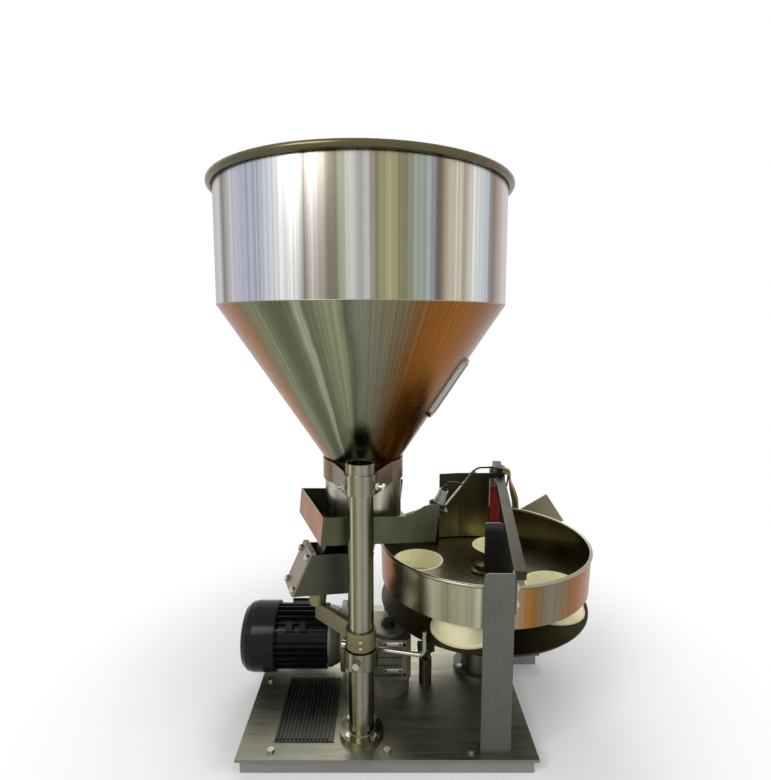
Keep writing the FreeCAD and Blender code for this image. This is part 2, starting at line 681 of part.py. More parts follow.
def feeder_tray():
    """Open trough with a closed back and cheeks that rise towards the bowl."""
    body = feeder_body("feeder_tray")
    side = sketch(body, "tray_outline", "XZ_Plane")
    outline(side, [
        ("-tray_back", "0"), ("tray_front", "0"), ("tray_front", "tray_cheek - 3"),
        ("tray_front * 0.86", "tray_cheek"), ("tray_front * 0.73", "tray_cheek - 4"),
        ("tray_front * 0.56", "tray_side + 8"), ("tray_front * 0.41", "tray_side"),
        ("-tray_back", "tray_side")])
    pad(body, side, "tray_width", "tray_block", symmetric=True)
    inside = sketch(body, "tray_inside", "XZ_Plane")
    rectangle(inside, "-tray_back + sheet", "tray_front + 1", "sheet", "tray_cheek + 1")
    pocket(body, inside, "tray_hollow", "tray_width - 2 * sheet", symmetric=True)
    return part(body, "feeder_tray")


def spring_line(depth):
    """How far a leaf spring leans back at a depth below the tray."""
    return f"spring_lean * ({depth}) / housing_bottom"


def spring_left(front):
    """The left face of a spring where it meets the tray's bracket."""
    return "bracket_front + 0.2" if front else "-bracket_rear - spring_thickness - 0.2"


def tray_bracket():
    """The block under the tray that the springs and the armature bolt to."""
    body = feeder_body("tray_bracket")
    side = sketch(body, "bracket_outline", "XZ_Plane")
    lean = spring_line("bracket_depth")
    outline(side, [
        ("-bracket_rear", "-0.2"), ("bracket_front", "-0.2"),
        (f"bracket_front - {lean}", "-bracket_depth"), (f"-bracket_rear - {lean}", "-bracket_depth")])
    pad(body, side, "bracket_width", "bracket_block", symmetric=True)
    hollow = sketch(body, "bracket_inside", "XZ_Plane")
    outline(hollow, [
        ("-bracket_rear + 6", "-6"), ("bracket_front - 12", "-6"),
        ("bracket_front - 12", "-bracket_depth - 1"), ("-bracket_rear + 6", "-bracket_depth - 1")])
    pocket(body, hollow, "bracket_hollow", "bracket_width - 12", symmetric=True)
    return part(body, "tray_bracket")


def drive_housing():
    """Folded trough with leaning ends, open at the top, with the rear spring's foot inside."""
    body = feeder_body("drive_housing")
    side = sketch(body, "housing_outline", "XZ_Plane")
    high, low = spring_line("housing_top"), spring_line("housing_bottom")
    outline(side, [
        ("-housing_rear", "-housing_top"), (f"bracket_front - {high}", "-housing_top"),
        (f"bracket_front - {low}", "-housing_bottom"),
        ("-housing_rear - housing_lean", "-housing_bottom")])
    pad(body, side, "housing_width", "housing_block", symmetric=True)
    inside = sketch(body, "housing_inside", "XZ_Plane")
    slope = "housing_lean / (housing_bottom - housing_top)"
    outline(inside, [
        (f"-housing_rear + 2 + housing_wall", "-housing_top + 1"),
        (f"bracket_front - housing_wall - {spring_line('housing_top - 1')}", "-housing_top + 1"),
        (f"bracket_front - housing_wall - {spring_line('housing_bottom - housing_wall')}",
         "-housing_bottom + housing_wall"),
        (f"-housing_rear - housing_lean + 2 + 2 * housing_wall * (1 + {slope})",
         "-housing_bottom + housing_wall")])
    pocket(body, inside, "housing_hollow", "housing_width - 2 * housing_wall", symmetric=True)
    foot = sketch(body, "spring_foot_side", "XZ_Plane")
    right = f"({spring_left(False)}) + spring_thickness + 0.2"
    low, high = "housing_bottom - 1", "housing_bottom - spring_foot"
    near = f"{right} - {spring_line(low)}"
    outline(foot, [
        (near, f"-({low})"), (f"{near} + foot_width", f"-({low})"),
        (f"{near} + foot_width", f"-({high})"), (f"{right} - {spring_line(high)}", f"-({high})")])
    pad(body, foot, "spring_width", "spring_foot_pad", symmetric=True)
    return part(body, "drive_housing")


def housing_cover():
    """Flat lid on the housing's leaning end, its top edge bent over."""
    body = feeder_body("housing_cover")
    lean = "housing_lean / (housing_bottom - housing_top)"
    out = f"cover_thickness * sqrt(1 + ({lean}) ^ 2)"
    side = sketch(body, "cover_outline", "XZ_Plane")
    outline(side, [
        ("-housing_rear - 0.3", "-housing_top"),
        ("-housing_rear - housing_lean - 0.3", "-housing_bottom"),
        (f"-housing_rear - housing_lean - 0.3 - {out}", "-housing_bottom"),
        (f"-housing_rear - 0.3 - {out} + 2", "-housing_top + 6"),
        ("-housing_rear + 8", "-housing_top + 6"), ("-housing_rear + 8", "-housing_top + 0.2"),
        ("-housing_rear - 0.3", "-housing_top + 0.2")])
    pad(body, side, "housing_width", "cover_sheet", symmetric=True)
    return part(body, "housing_cover")


def cover_screws():
    """Four screws at the corners of the cover."""
    lean = math.atan2(size("housing_lean"), size("housing_bottom - housing_top"))
    outward = V(-math.cos(lean), 0, math.sin(lean))
    members = []
    for row, depth in enumerate(("housing_top + 10", "housing_bottom - 10")):
        for column, side in enumerate((-1, 1)):
            bolt = hex_bolt(f"cover_screw_{row}{column}", "0.5")
            share = size(f"({depth}) - housing_top") / size("housing_bottom - housing_top")
            base = V(-size("housing_rear") - share * size("housing_lean") - 0.3,
                     side * size("housing_width / 2 - 9"), -size(depth))
            base += outward * (size("cover_thickness") + 0.7)
            local = FreeCAD.Placement(base, FreeCAD.Rotation(V(0, 0, 1), outward))
            bolt.Placement = feeder_frame().multiply(local)
            members.append(bolt)
    return part(group("cover_screws", members), "cover_screws")


def magnet_core():
    """Laminated core that stands on the housing's floor, with its pole towards the armature."""
    body = feeder_body("magnet_core", "-(housing_bottom - housing_wall)")
    side = sketch(body, "core_outline", "XZ_Plane")
    rectangle(side, "core_x", "core_x + core_length", "0", "core_height")
    pad(body, side, "core_width", "core_block", symmetric=True)
    return part(body, "magnet_core")


def magnet_coil():
    """Wound coil around the core."""
    body = feeder_body("magnet_coil", "-(housing_bottom - housing_wall)")
    middle = "(core_height - coil_height) / 2"
    side = sketch(body, "coil_outline", "XZ_Plane")
    rectangle(side, "core_x - coil_wall", "core_x + core_length - 2.5", middle,
              f"{middle} + coil_height")
    pad(body, side, "core_width + 2 * coil_wall - 6", "coil_block", symmetric=True)
    inside = sketch(body, "coil_inside", "XZ_Plane")
    rectangle(inside, "core_x - 0.25", "core_x + core_length", f"{middle} - 1",
              f"{middle} + coil_height + 1")
    pocket(body, inside, "coil_hollow", "core_width + 0.5", symmetric=True)
    return part(body, "magnet_coil")


def armature():
    """Steel plate that hangs from the tray's bracket in front of the magnet's pole."""
    body = feeder_body("armature")
    side = sketch(body, "armature_outline", "XZ_Plane")
    left = "core_x + core_length + armature_gap"
    outline(side, [
        (left, "-6.2"), (f"{left} + armature_thickness", "-6.2"),
        (f"{left} + armature_thickness", "-housing_bottom + spring_foot + 6"),
        (left, "-housing_bottom + spring_foot + 6")])
    pad(body, side, "bracket_width - 13", "armature_plate", symmetric=True)
    return part(body, "armature")


def leaf_springs():
    """Two leaf springs, from the housing's front and its inner foot up to the tray's bracket."""
    members = []
    for front, name in ((True, "front"), (False, "rear")):
        body = feeder_body("spring_" + name)
        side = sketch(body, "spring_outline_" + name, "XZ_Plane")
        left = spring_left(front)
        low, high = "housing_bottom - housing_wall - 1", "8"
        bottom = f"{left} - {spring_line(low)}"
        top = f"{left} - {spring_line(high)}"
        outline(side, [
            (bottom, f"-({low})"), (f"{bottom} + spring_thickness", f"-({low})"),
            (f"{top} + spring_thickness", f"-({high})"), (top, f"-({high})")])
        pad(body, side, "spring_width", "spring_leaf_" + name, symmetric=True)
        members.append(body)
    return part(group("leaf_springs", members), "leaf_springs")


def spring_bolts():
    """The bolts through the lower ends of the springs."""
    members = []
    lean = math.atan2(size("spring_lean"), size("housing_bottom"))
    depth = size("housing_bottom - spring_foot / 2 - 1")
    for front, name in ((True, "front"), (False, "rear")):
        outward = V(-math.cos(lean), 0, math.sin(lean)) * (-1 if front else 1)
        x = size(spring_left(front)) - size("spring_lean") * depth / size("housing_bottom")
        x += size("spring_thickness") if front else 0
        for side in (-1, 1):
            bolt = hex_bolt(f"spring_bolt_{name}_{side + 1}", "0.5")
            base = V(x, side * 13, -depth) + outward * 0.6
            local = FreeCAD.Placement(base, FreeCAD.Rotation(V(0, 0, 1), outward))
            bolt.Placement = feeder_frame().multiply(local)
            members.append(bolt)
    return part(group("spring_bolts", members), "spring_bolts")


# Motor and gearbox


def along_x(body, x, y, z):
    """Turn a body so that its own Z axis points along the machine's X."""
    body.Placement = FreeCAD.Placement(
        V(size(x), size(y), size(z)), FreeCAD.Rotation(V(0, 0, 1), V(1, 0, 0)))
    for name, expression in (("x", x), ("y", y), ("z", z)):
        tie(body, "Placement.Base." + name, expression)
    return body


def motor_housing():
    """Finned aluminium stator housing with its pads for feet."""
    body = DOC.addObject("PartDesign::Body", "motor_housing_body")
    along_x(body, "motor_left", "motor_y", "motor_z")
    core = sketch(body, "motor_core_circle")
    circle(core, "0", "0", "motor_core")
    pad(body, core, "motor_length", "motor_barrel")
    seat = sketch(body, "motor_seat_circle")
    circle(seat, "0", "0", "fan_cover_radius - sheet - 0.2")
    pad(body, seat, "fan_cover_lap + 2", "motor_seat")
    fin = sketch(body, "motor_fin", lift="3")
    rectangle(fin, "motor_core - 2", "fin_reach", "-fin_thickness / 2", "fin_thickness / 2")
    first = pad(body, fin, "motor_length - 6", "fin")
    polar(body, first, int(size("fin_count")))
    DOC.recompute()
    bore = sketch(body, "motor_bore")
    circle(bore, "0", "0", "shaft_radius + run")
    pocket(body, bore, "motor_bore_cut", reverse=True)
    for index, start in enumerate(("34", "66")):
        lug = sketch(body, f"motor_lug_{index}", lift=start)
        reach, root = "(fin_reach + 3)", "(motor_core - 4)"
        outline(lug, [(f"-({r} + {t}) * sqrt(0.5)", f"-({r} - {t}) * sqrt(0.5)")
                      for r, t in ((reach, "11"), (root, "11"), (root, "(-11)"), (reach, "(-11)"))])
        pad(body, lug, "15", f"motor_lug_pad_{index}")
        low = sketch(body, f"motor_foot_{index}", lift=start)
        rectangle(low, "motor_core - 4", "fin_reach + 3", "-11", "11")
        pad(body, low, "15", f"motor_foot_pad_{index}")
    return part(body, "motor_housing")


def fan_cover():
    """Pressed steel cover with a grille of round holes in its end."""
    body = DOC.addObject("PartDesign::Body", "fan_cover_body")
    along_x(body, "motor_left + fan_cover_lap - fan_cover_length", "motor_y", "motor_z")
    profile = sketch(body, "fan_cover_profile", "XZ_Plane")
    outline(profile, [
        ("0", "0"), ("fan_cover_radius - 26", "0"), ("fan_cover_radius - 12", "5"),
        ("fan_cover_radius - 3", "16"), ("fan_cover_radius", "30"),
        ("fan_cover_radius", "fan_cover_length"),
        ("fan_cover_radius - sheet", "fan_cover_length"), ("fan_cover_radius - sheet", "31"),
        ("fan_cover_radius - sheet - 3", "17"), ("fan_cover_radius - sheet - 11", "7"),
        ("fan_cover_radius - sheet - 25", "sheet"), ("0", "sheet")])
    spin(body, profile, "fan_cover_turn")
    for index, (orbit, radius, count) in enumerate(((18, 5, 6), (35, 6, 12))):
        hole = sketch(body, f"grille_hole_{index}")
        circle(hole, str(orbit), "0", str(radius))
        cutout = pocket(body, hole, f"grille_cut_{index}", "2 * sheet", reverse=True)
        polar(body, cutout, count)
        DOC.recompute()
    return part(body, "fan_cover")


def motor_fan():
    """Fan on the shaft's rear end."""
    body = DOC.addObject("PartDesign::Body", "motor_fan_body")
    along_x(body, "motor_left - 44", "motor_y", "motor_z")
    hub = sketch(body, "fan_hub")
    circle(hub, "0", "0", "fan_radius * 0.36")
    circle(hub, "0", "0", "shaft_radius + 0.05")
    pad(body, hub, "26", "fan_hub_pad")
    blade = sketch(body, "fan_blade")
    rectangle(blade, "fan_radius * 0.36 - 2", "fan_radius", "-1.5", "1.5")
    first = pad(body, blade, "26", "fan_blade_pad")
    polar(body, first, 6)
    return part(body, "motor_fan")


def motor_shaft():
    """The shaft, from the fan through the motor into the gearbox."""
    length = "gear_x - gear_half - motor_left + 50 + 16"
    body = DOC.addObject("PartDesign::Body", "motor_shaft_body")
    along_x(body, "motor_left - 50", "motor_y", "motor_z")
    edge = sketch(body, "motor_shaft_circle")
    circle(edge, "0", "0", "shaft_radius")
    pad(body, edge, length, "motor_shaft_rod")
    return part(body, "motor_shaft")


def motor_flange():
    """End shield and flange between the motor and the gearbox."""
    body = DOC.addObject("PartDesign::Body", "motor_flange_body")
    along_x(body, "motor_left + motor_length", "motor_y", "motor_z")
    profile = sketch(body, "shield_profile", "XZ_Plane")
    outline(profile, [
        ("shaft_radius + run", "0"), ("shield_radius", "0"), ("shield_radius", "6"),
        ("shield_radius - 12", "shield_length"), ("motor_flange_radius", "shield_length"),
        ("motor_flange_radius", "shield_length + motor_flange"),
        ("shaft_radius + run", "shield_length + motor_flange")])
    spin(body, profile, "shield_turn")
    return part(body, "motor_flange")


def terminal_box():
    """Connection box on the side of the motor that faces away."""
    body = new_body("terminal_box", "motor_left + motor_length / 2 - 40",
                    "motor_y + fin_reach + 0.3", "motor_z - 34")
    drawing = sketch(body, "terminal_edge")
    rectangle(drawing, "0", "80", "0", "34")
    pad(body, drawing, "68", "terminal_block")
    lid = sketch(body, "terminal_lid", "XZ_Plane", lift="-37")
    rectangle(lid, "-3", "83", "-3", "71")
    pad(body, lid, "5", "terminal_lid_pad")
    return part(body, "terminal_box")


def gearbox():
    """Worm gearbox: square body with machined foot pads, the worm's tube, and round flanges."""
    body = new_body("gearbox", "gear_x", "gear_y", DECK_TOP)
    low = f"gear_z - {DECK_TOP}"
    flange = sketch(body, "gear_flange")
    circle(flange, "0", "0", "gear_flange_radius")
    pad(body, flange, f"{low} + 1", "gear_flange_pad")
    main = sketch(body, "gear_block", lift=low)
    half, nip = "gear_half", "10"
    outline(main, [
        (f"-{half}", f"-{half} + {nip}"), (f"-{half} + {nip}", f"-{half}"),
        (f"{half} - {nip}", f"-{half}"), (half, f"-{half} + {nip}"),
        (half, f"{half} + 20"), (f"-{half}", f"{half} + 20")])
    pad(body, main, "gear_height", "gear_block_pad")
    lid = sketch(body, "gear_lid_circle", lift=f"{low} + gear_height")
    circle(lid, "0", "0", "gear_lid_radius")
    pad(body, lid, "gear_lid", "gear_lid_pad")
    recess = sketch(body, "gear_recess", "XZ_Plane", lift="gear_half - 6")
    rectangle(recess, "-gear_half + 22", "gear_half - 22", f"{low} + 8", f"{low} + gear_height - 8")
    pocket(body, recess, "gear_recess_cut", reverse=True, length="8")
    for index in range(3):
        rib = sketch(body, f"gear_rib_{index}", "XZ_Plane", lift="gear_half - 7")
        height = f"{low} + gear_height * {0.3 + 0.2 * index}"
        rectangle(rib, "-gear_half + 21", "gear_half - 21", f"{height} - 3", f"{height} + 3")
        pad(body, rib, "5.5", f"gear_rib_pad_{index}")
    holes = sketch(body, "gear_foot_holes", "XZ_Plane", lift="gear_half + 1")
    for x in (-1, 1):
        for z in ("12", "gear_height - 12"):
            circle(holes, f"{x} * (gear_half - 15)", f"{low} + {z}", "bolt_radius")
    pocket(body, holes, "gear_foot_drilling", "14")
    tube = sketch(body, "worm_tube", "YZ_Plane", lift="-gear_half - worm_reach")
    circle(tube, "motor_y - gear_y", f"motor_z - {DECK_TOP}", "worm_tube")
    pad(body, tube, "2 * gear_half + worm_reach", "worm_tube_pad")
    face = sketch(body, "worm_flange", "YZ_Plane", lift="-gear_half - worm_reach")
    circle(face, "motor_y - gear_y", f"motor_z - {DECK_TOP}", "worm_flange")
    pad(body, face, "motor_flange", "worm_flange_pad")
    port = sketch(body, "worm_port", "YZ_Plane", lift="-gear_half - worm_reach - 1")
    circle(port, "motor_y - gear_y", f"motor_z - {DECK_TOP}", "shaft_radius + run")
    pocket(body, port, "worm_port_cut", "worm_reach + 18", reverse=True)
    bore = sketch(body, "gear_bore")
    circle(bore, "0", "0", "shaft_radius + run")
    pocket(body, bore, "gear_bore_cut", f"{low} + gear_height", reverse=True)
    return part(body, "gearbox")


def oil_plug():
    """Hexagon breather plug on the gearbox lid."""
    top = "gear_z + gear_height + gear_lid"
    base = hexagon("oil_plug_hexagon", "16", "9", "gear_x", "gear_y", top)
    stem = cylinder("oil_plug_cap", "11", "13", "gear_x", "gear_y", top)
    return part(fuse("oil_plug", [base, stem]), "oil_plug")


def output_shaft():
    """The gearbox's slow shaft, down through the deck to its pulley."""
    rod = cylinder("output_shaft", "shaft_radius",
                   "gear_z + gear_height - pulley_z - 4", "gear_x", "gear_y", "pulley_z")
    return part(rod, "output_shaft")


def pulley(label, x, y, radius, bore):
    """Flanged belt pulley."""
    lip = "(pulley_width - belt_width) / 2 - 0.3"
    edge = f"{radius} + pulley_lip"
    points = [
        (bore, "0"), (edge, "0"), (edge, lip), (radius, lip),
        (radius, f"pulley_width - ({lip})"), (edge, f"pulley_width - ({lip})"),
        (edge, "pulley_width"), (bore, "pulley_width")]
    return part(turned(label, points, x, y, "pulley_z"), label)


def drive_belt():
    """Flat closed belt around the two pulleys."""
    centres = (V(size("gear_x"), size("gear_y"), 0), V(size("bowl_x"), size("bowl_y"), 0))
    radii = (size("drive_pulley_radius"), size("driven_pulley_radius"))
    line = centres[1] - centres[0]
    heading = math.atan2(line.y, line.x)

    def loop(extra):
        r0, r1 = radii[0] + extra, radii[1] + extra
        swing = math.acos((r0 - r1) / line.Length)

        def spot(centre, radius, angle):
            return centre + V(radius * math.cos(angle), radius * math.sin(angle), 0)

        a = [spot(centres[0], r0, heading + swing), spot(centres[0], r0, heading + math.pi),
             spot(centres[0], r0, heading - swing)]
        b = [spot(centres[1], r1, heading - swing), spot(centres[1], r1, heading),
             spot(centres[1], r1, heading + swing)]
        edges = [Part.Arc(*a).toShape(), Part.LineSegment(a[2], b[0]).toShape(),
                 Part.Arc(*b).toShape(), Part.LineSegment(b[2], a[0]).toShape()]
        return Part.Face(Part.Wire(edges))

    gap = size("run")
    face = loop(gap + size("belt_thickness")).cut(loop(gap))
    item = DOC.addObject("Part::Feature", "drive_belt")
    item.Shape = face.extrude(V(0, 0, size("belt_width")))
    item.Placement = FreeCAD.Placement(
        V(0, 0, size("pulley_z + (pulley_width - belt_width) / 2")), FreeCAD.Rotation())
    return part(item, "drive_belt")


# Bowl, cups and bottom plate


def bearing_housing():
    """Flanged bearing housing on the deck, with the column that guides the bottom plate."""
    top = f"bearing_dome - {DECK_TOP}"
    points = [
        ("spindle_radius + run", "0"), ("bearing_radius", "0"), ("bearing_radius", "bearing_flange"),
        ("bearing_radius - 18", "bearing_flange"), ("bearing_radius - 20", f"{top} - 12"),
        ("bearing_radius - 26", f"{top} - 3"), ("column_radius + 4", top), ("column_radius", top),
        ("column_radius", f"column_top - {DECK_TOP}"),
        ("spindle_radius + run", f"column_top - {DECK_TOP}")]
    body = turned("bearing_housing", points, "bowl_x", "bowl_y", DECK_TOP)
    holes = sketch(body, "bearing_holes")
    for x, y in circle_spots("0", "0", "bearing_bolts", 4, 20):
        circle(holes, x, y, "bolt_radius + bolt_clearance")
    pocket(body, holes, "bearing_drilling", "bearing_flange + 1", reverse=True)
    return part(body, "bearing_housing")


def spindle():
    """The bowl's shaft, with the clamping flange on top."""
    points = [
        ("0", "0"), ("spindle_radius", "0"), ("spindle_radius", f"{FLOOR_TOP} - pulley_z"),
        ("spindle_radius + 13", f"{FLOOR_TOP} - pulley_z"),
        ("spindle_radius + 13", f"{FLOOR_TOP} - pulley_z + 5"),
        ("spindle_radius + 4", f"{FLOOR_TOP} - pulley_z + 8"),
        ("spindle_radius + 2", f"{FLOOR_TOP} - pulley_z + 18"),
        ("0", f"{FLOOR_TOP} - pulley_z + 20")]
    return part(turned("spindle", points, "bowl_x", "bowl_y", "pulley_z"), "spindle")


def bowl():
    """Spun pan with a beaded rim and a hole in its floor over each cup."""
    wall = "bowl_sheet"
    points = [
        ("spindle_radius + 0.05", "bowl_floor"), ("bowl_radius - bowl_taper - 1", "bowl_floor"),
        ("bowl_radius - bowl_taper - 2", "bowl_skirt"), ("bowl_radius - bowl_taper", "bowl_skirt"),
        ("bowl_radius", "bowl_rim"), (f"bowl_radius - {wall}", "bowl_rim"),
        (f"bowl_radius - bowl_taper - {wall}", f"{FLOOR_TOP}"),
        ("spindle_radius + 0.05", f"{FLOOR_TOP}")]
    body = turned("bowl", points, "bowl_x", "bowl_y", 0)
    bead = sketch(body, "bowl_bead", "XZ_Plane")
    circle(bead, "bowl_radius - 1", "bowl_rim", "bead_radius")
    spin(body, bead, "bowl_bead_roll")
    holes = sketch(body, "bowl_holes", lift="bowl_floor - 1")
    for index in range(4):
        angle = f"(cup_turn + {90 * index}) * 1deg"
        circle(holes, f"cup_orbit * cos({angle})", f"cup_orbit * sin({angle})", f"{CUP_OUTER} + 0.1")
    pocket(body, holes, "bowl_cup_holes", "floor_sheet + 3", reverse=True)
    return part(body, "bowl")


def bowl_hub():
    """Hub that carries the bowl's floor on the spindle."""
    points = [
        ("spindle_radius + 0.05", "hub_bottom"), ("spindle_radius + 8", "hub_bottom"),
        ("spindle_radius + 8", "bowl_floor - 12"), ("hub_radius", "bowl_floor - 10"),
        ("hub_radius", "bowl_floor"), ("spindle_radius + 0.05", "bowl_floor")]
    return part(turned("bowl_hub", points, "bowl_x", "bowl_y", 0), "bowl_hub")


def upper_cups():
    """Fixed halves of the four cups, hung in the bowl's floor."""
    members = []
    for index in range(4):
        x, y = cup_place(index)
        points = [
            ("cup_radius", "cup_bottom"), (CUP_OUTER, "cup_bottom"),
            (CUP_OUTER, "bowl_floor - 4"), ("cup_lip", "bowl_floor - 4"),
            ("cup_lip", "bowl_floor"), (CUP_OUTER, "bowl_floor"), (CUP_OUTER, FLOOR_TOP),
            ("cup_radius", FLOOR_TOP)]
        members.append(turned(f"upper_cup_{index}", points, x, y, 0))
    return part(group("upper_cups", members), "upper_cups")


def cup_carrier():
    """Turning disc that carries the sliding halves of the cups."""
    body = new_body("cup_carrier", "bowl_x", "bowl_y", "carrier_bottom")
    drawing = sketch(body, "carrier_edge")
    circle(drawing, "0", "0", "carrier_radius")
    circle(drawing, "0", "0", "hub_radius + 6")
    pad(body, drawing, "carrier_sheet", "carrier_disc")
    holes = sketch(body, "carrier_holes")
    for index in range(4):
        angle = f"(cup_turn + {90 * index}) * 1deg"
        circle(holes, f"cup_orbit * cos({angle})", f"cup_orbit * sin({angle})",
               f"{LOWER_OUTER} + 0.1")
    pocket(body, holes, "carrier_cup_holes", reverse=True)
    return part(body, "cup_carrier")


def lower_cups():
    """Sliding halves of the cups, seated in the carrier."""
    members = []
    for index in range(4):
        x, y = cup_place(index)
        lip = f"{LOWER_OUTER} + lower_cup_lip"
        shelf = "carrier_bottom + carrier_sheet"
        points = [
            (LOWER_INNER, "carrier_bottom"), (LOWER_OUTER, "carrier_bottom"),
            (LOWER_OUTER, shelf), (lip, shelf), (lip, f"{shelf} + 4"),
            (LOWER_OUTER, f"{shelf} + 4"), (LOWER_OUTER, "lower_cup_top"),
            (LOWER_INNER, "lower_cup_top")]
        members.append(turned(f"lower_cup_{index}", points, x, y, 0))
    return part(group("lower_cups", members), "lower_cups")


def bottom_plate():
    """Plate that closes the cups from below, with one hole over the chute and a guide hub."""
    body = new_body("bottom_plate", "bowl_x", "bowl_y", "plate_bottom")
    drawing = sketch(body, "plate_edge")
    circle(drawing, "0", "0", "plate_radius")
    pad(body, drawing, "plate_sheet", "plate_disc")
    hub = sketch(body, "plate_hub_circle")
    circle(hub, "0", "0", "plate_hub")
    hub_pad = pad(body, hub, "plate_hub_length", "plate_hub_pad")
    hub_pad.Reversed = True
    holes = sketch(body, "plate_bore", lift="-plate_hub_length - 1")
    circle(holes, "0", "0", "column_radius + slip")
    pocket(body, holes, "plate_boring", reverse=True)
    outlet = sketch(body, "plate_outlet", lift="-1")
    circle(outlet, "cup_orbit * cos(cup_turn * 1deg)", "cup_orbit * sin(cup_turn * 1deg)",
           "cup_radius")
    pocket(body, outlet, "plate_outlet_cut", reverse=True)
    return part(body, "bottom_plate")


def discharge_chute():
    """Funnel under the plate's hole, with a straight spout through the deck."""
    x, y = cup_place(0)
    wall = "chute_wall"
    points = [
        (f"chute_mouth - {wall}", "plate_bottom"), ("chute_radius", "plate_bottom"),
        ("chute_radius", "plate_bottom - 3"), ("chute_mouth", "plate_bottom - 3"),
        ("chute_spout", "chute_cone"), ("chute_spout", "chute_bottom"),
        (f"chute_spout - {wall}", "chute_bottom"), (f"chute_spout - {wall}", "chute_cone"),
        (f"chute_mouth - {wall}", "plate_bottom - 3")]
    return part(turned("discharge_chute", points, x, y, 0), "discharge_chute")


def adjuster_base():
    """Threaded pillar on the deck that holds the height screw."""
    body = new_body("adjuster_base", "adjuster_x", "adjuster_y", DECK_TOP)
    edge = sketch(body, "adjuster_circle")
    circle(edge, "0", "0", "adjuster_radius")
    pad(body, edge, f"adjuster_top - {DECK_TOP}", "adjuster_pillar")
    groove = sketch(body, "adjuster_flute", lift="8")
    circle(groove, "adjuster_radius + 0.6", "0", "1.6")
    DOC.recompute()
    flute = pocket(body, groove, "adjuster_flute_cut", f"adjuster_top - {DECK_TOP} - 20",
                   reverse=True)
    polar(body, flute, 12)
    DOC.recompute()
    bore = sketch(body, "adjuster_bore")
    circle(bore, "0", "0", "screw_radius + run")
    pocket(body, bore, "adjuster_boring", reverse=True)
    return part(body, "adjuster_base")


def height_screw():
    """Screw with its star knob: turning it moves the bottom plate."""
    body = new_body("height_screw", "adjuster_x", "adjuster_y", "screw_bottom")
    rod = sketch(body, "screw_circle")
    circle(rod, "0", "0", "screw_radius")
    pad(body, rod, "plate_bottom - 0.2 - screw_bottom", "screw_rod")
    knob = sketch(body, "knob_circle", lift="knob_z - screw_bottom")
    circle(knob, "0", "0", "knob_radius - knob_lobe")
    pad(body, knob, "knob_height", "knob_disc")
    lobe = sketch(body, "knob_lobe_circle", lift="knob_z - screw_bottom")
    circle(lobe, "knob_radius - knob_lobe", "0", "knob_lobe")
    first = pad(body, lobe, "knob_height", "knob_lobe_pad")
    polar(body, first, 5)
    return part(body, "height_screw")


# Bridge over the bowl


def front_post():
    """Folded sheet post in front of the bowl: face, side flange and foot."""
    body = new_body("front_post", 0, "front_post_y", DECK_TOP)
    top = f"front_post_top - {DECK_TOP}"
    face = sketch(body, "front_face", "XZ_Plane")
    outline(face, [
        ("front_post_left", "0"), ("front_post_right", "0"), ("front_post_right", top),
        ("front_post_left + post_corner", top),
        ("front_post_left + post_corner * 0.29", f"{top} - post_corner * 0.29"),
        ("front_post_left", f"{top} - post_corner")])
    pad(body, face, "bridge_sheet", "front_face_pad")
    flange = sketch(body, "front_flange")
    rectangle(flange, "front_post_right - bridge_sheet", "front_post_right",
              "-bridge_sheet + 0.5", "front_post_flange - bridge_sheet")
    pad(body, flange, top, "front_flange_pad")
    foot = sketch(body, "front_foot")
    rectangle(foot, "front_post_left", "front_post_right", "-bridge_sheet + 0.5", "foot_reach")
    pad(body, foot, "bridge_sheet", "front_foot_pad")
    holes = sketch(body, "front_foot_holes", lift="-1")
    for x, y in foot_bolt_spots()[:2]:
        circle(holes, x, f"{y} - front_post_y", "bolt_radius + bolt_clearance")
    pocket(body, holes, "front_foot_drilling", "bridge_sheet + 2", reverse=True)
    return part(body, "front_post")


def rear_post():
    """Folded sheet post behind the bowl."""
    body = new_body("rear_post", 0, "rear_post_y", DECK_TOP)
    seat = beam_point(size("rear_post_y - bridge_sheet")).z - 0.1
    top = f"{seat:.3f} - {DECK_TOP}"
    face = sketch(body, "rear_face", "XZ_Plane")
    rectangle(face, "rear_post_x", "rear_post_x + rear_post_width", "0", top)
    pad(body, face, "bridge_sheet", "rear_face_pad")
    flange = sketch(body, "rear_flange")
    rectangle(flange, "rear_post_x", "rear_post_x + bridge_sheet", "-18", "-0.5")
    pad(body, flange, top, "rear_flange_pad")
    foot = sketch(body, "rear_foot")
    rectangle(foot, "rear_post_x", "rear_post_x + rear_post_width", "-20", "-0.5")
    pad(body, foot, "bridge_sheet", "rear_foot_pad")
    hole = sketch(body, "rear_foot_hole", lift="-1")
    x, y = foot_bolt_spots()[2]
    circle(hole, x, f"{y} - rear_post_y", "bolt_radius + bolt_clearance")
    pocket(body, hole, "rear_foot_drilling", "bridge_sheet + 2", reverse=True)
    return part(body, "rear_post")


def beam_ends():
    """The middle of the beam's top at its front and its rear end."""
    front = V(size("front_post_right + beam_width / 2 + 0.1"), size("front_post_y + 10"),
              size("beam_front_z"))
    rear = V(size("rear_post_x + rear_post_width / 2 - 2"), size("rear_post_y"),
             size("beam_rear_z"))
    return front, rear


def beam_point(y):
    """The middle of the beam's underside at a given y."""
    front, rear = beam_ends()
    share = (y - front.y) / (rear.y - front.y)
    spot = front + (rear - front) * share
    up = beam_frame()[0].Rotation.multVec(V(0, 0, 1))
    return V(spot.x, spot.y, spot.z - size("beam_depth") / up.z)


def beam_frame():
    """Frame with x across the beam, y along it and z up from its underside."""
    front, rear = beam_ends()
    along = (rear - front).normalize()
    across = V(along.y, -along.x, 0).normalize()
    up = across.cross(along)
    rotation = FreeCAD.Rotation(across, along, up, "XYZ")
    return FreeCAD.Placement(front - up * size("beam_depth"), rotation), (rear - front).Length


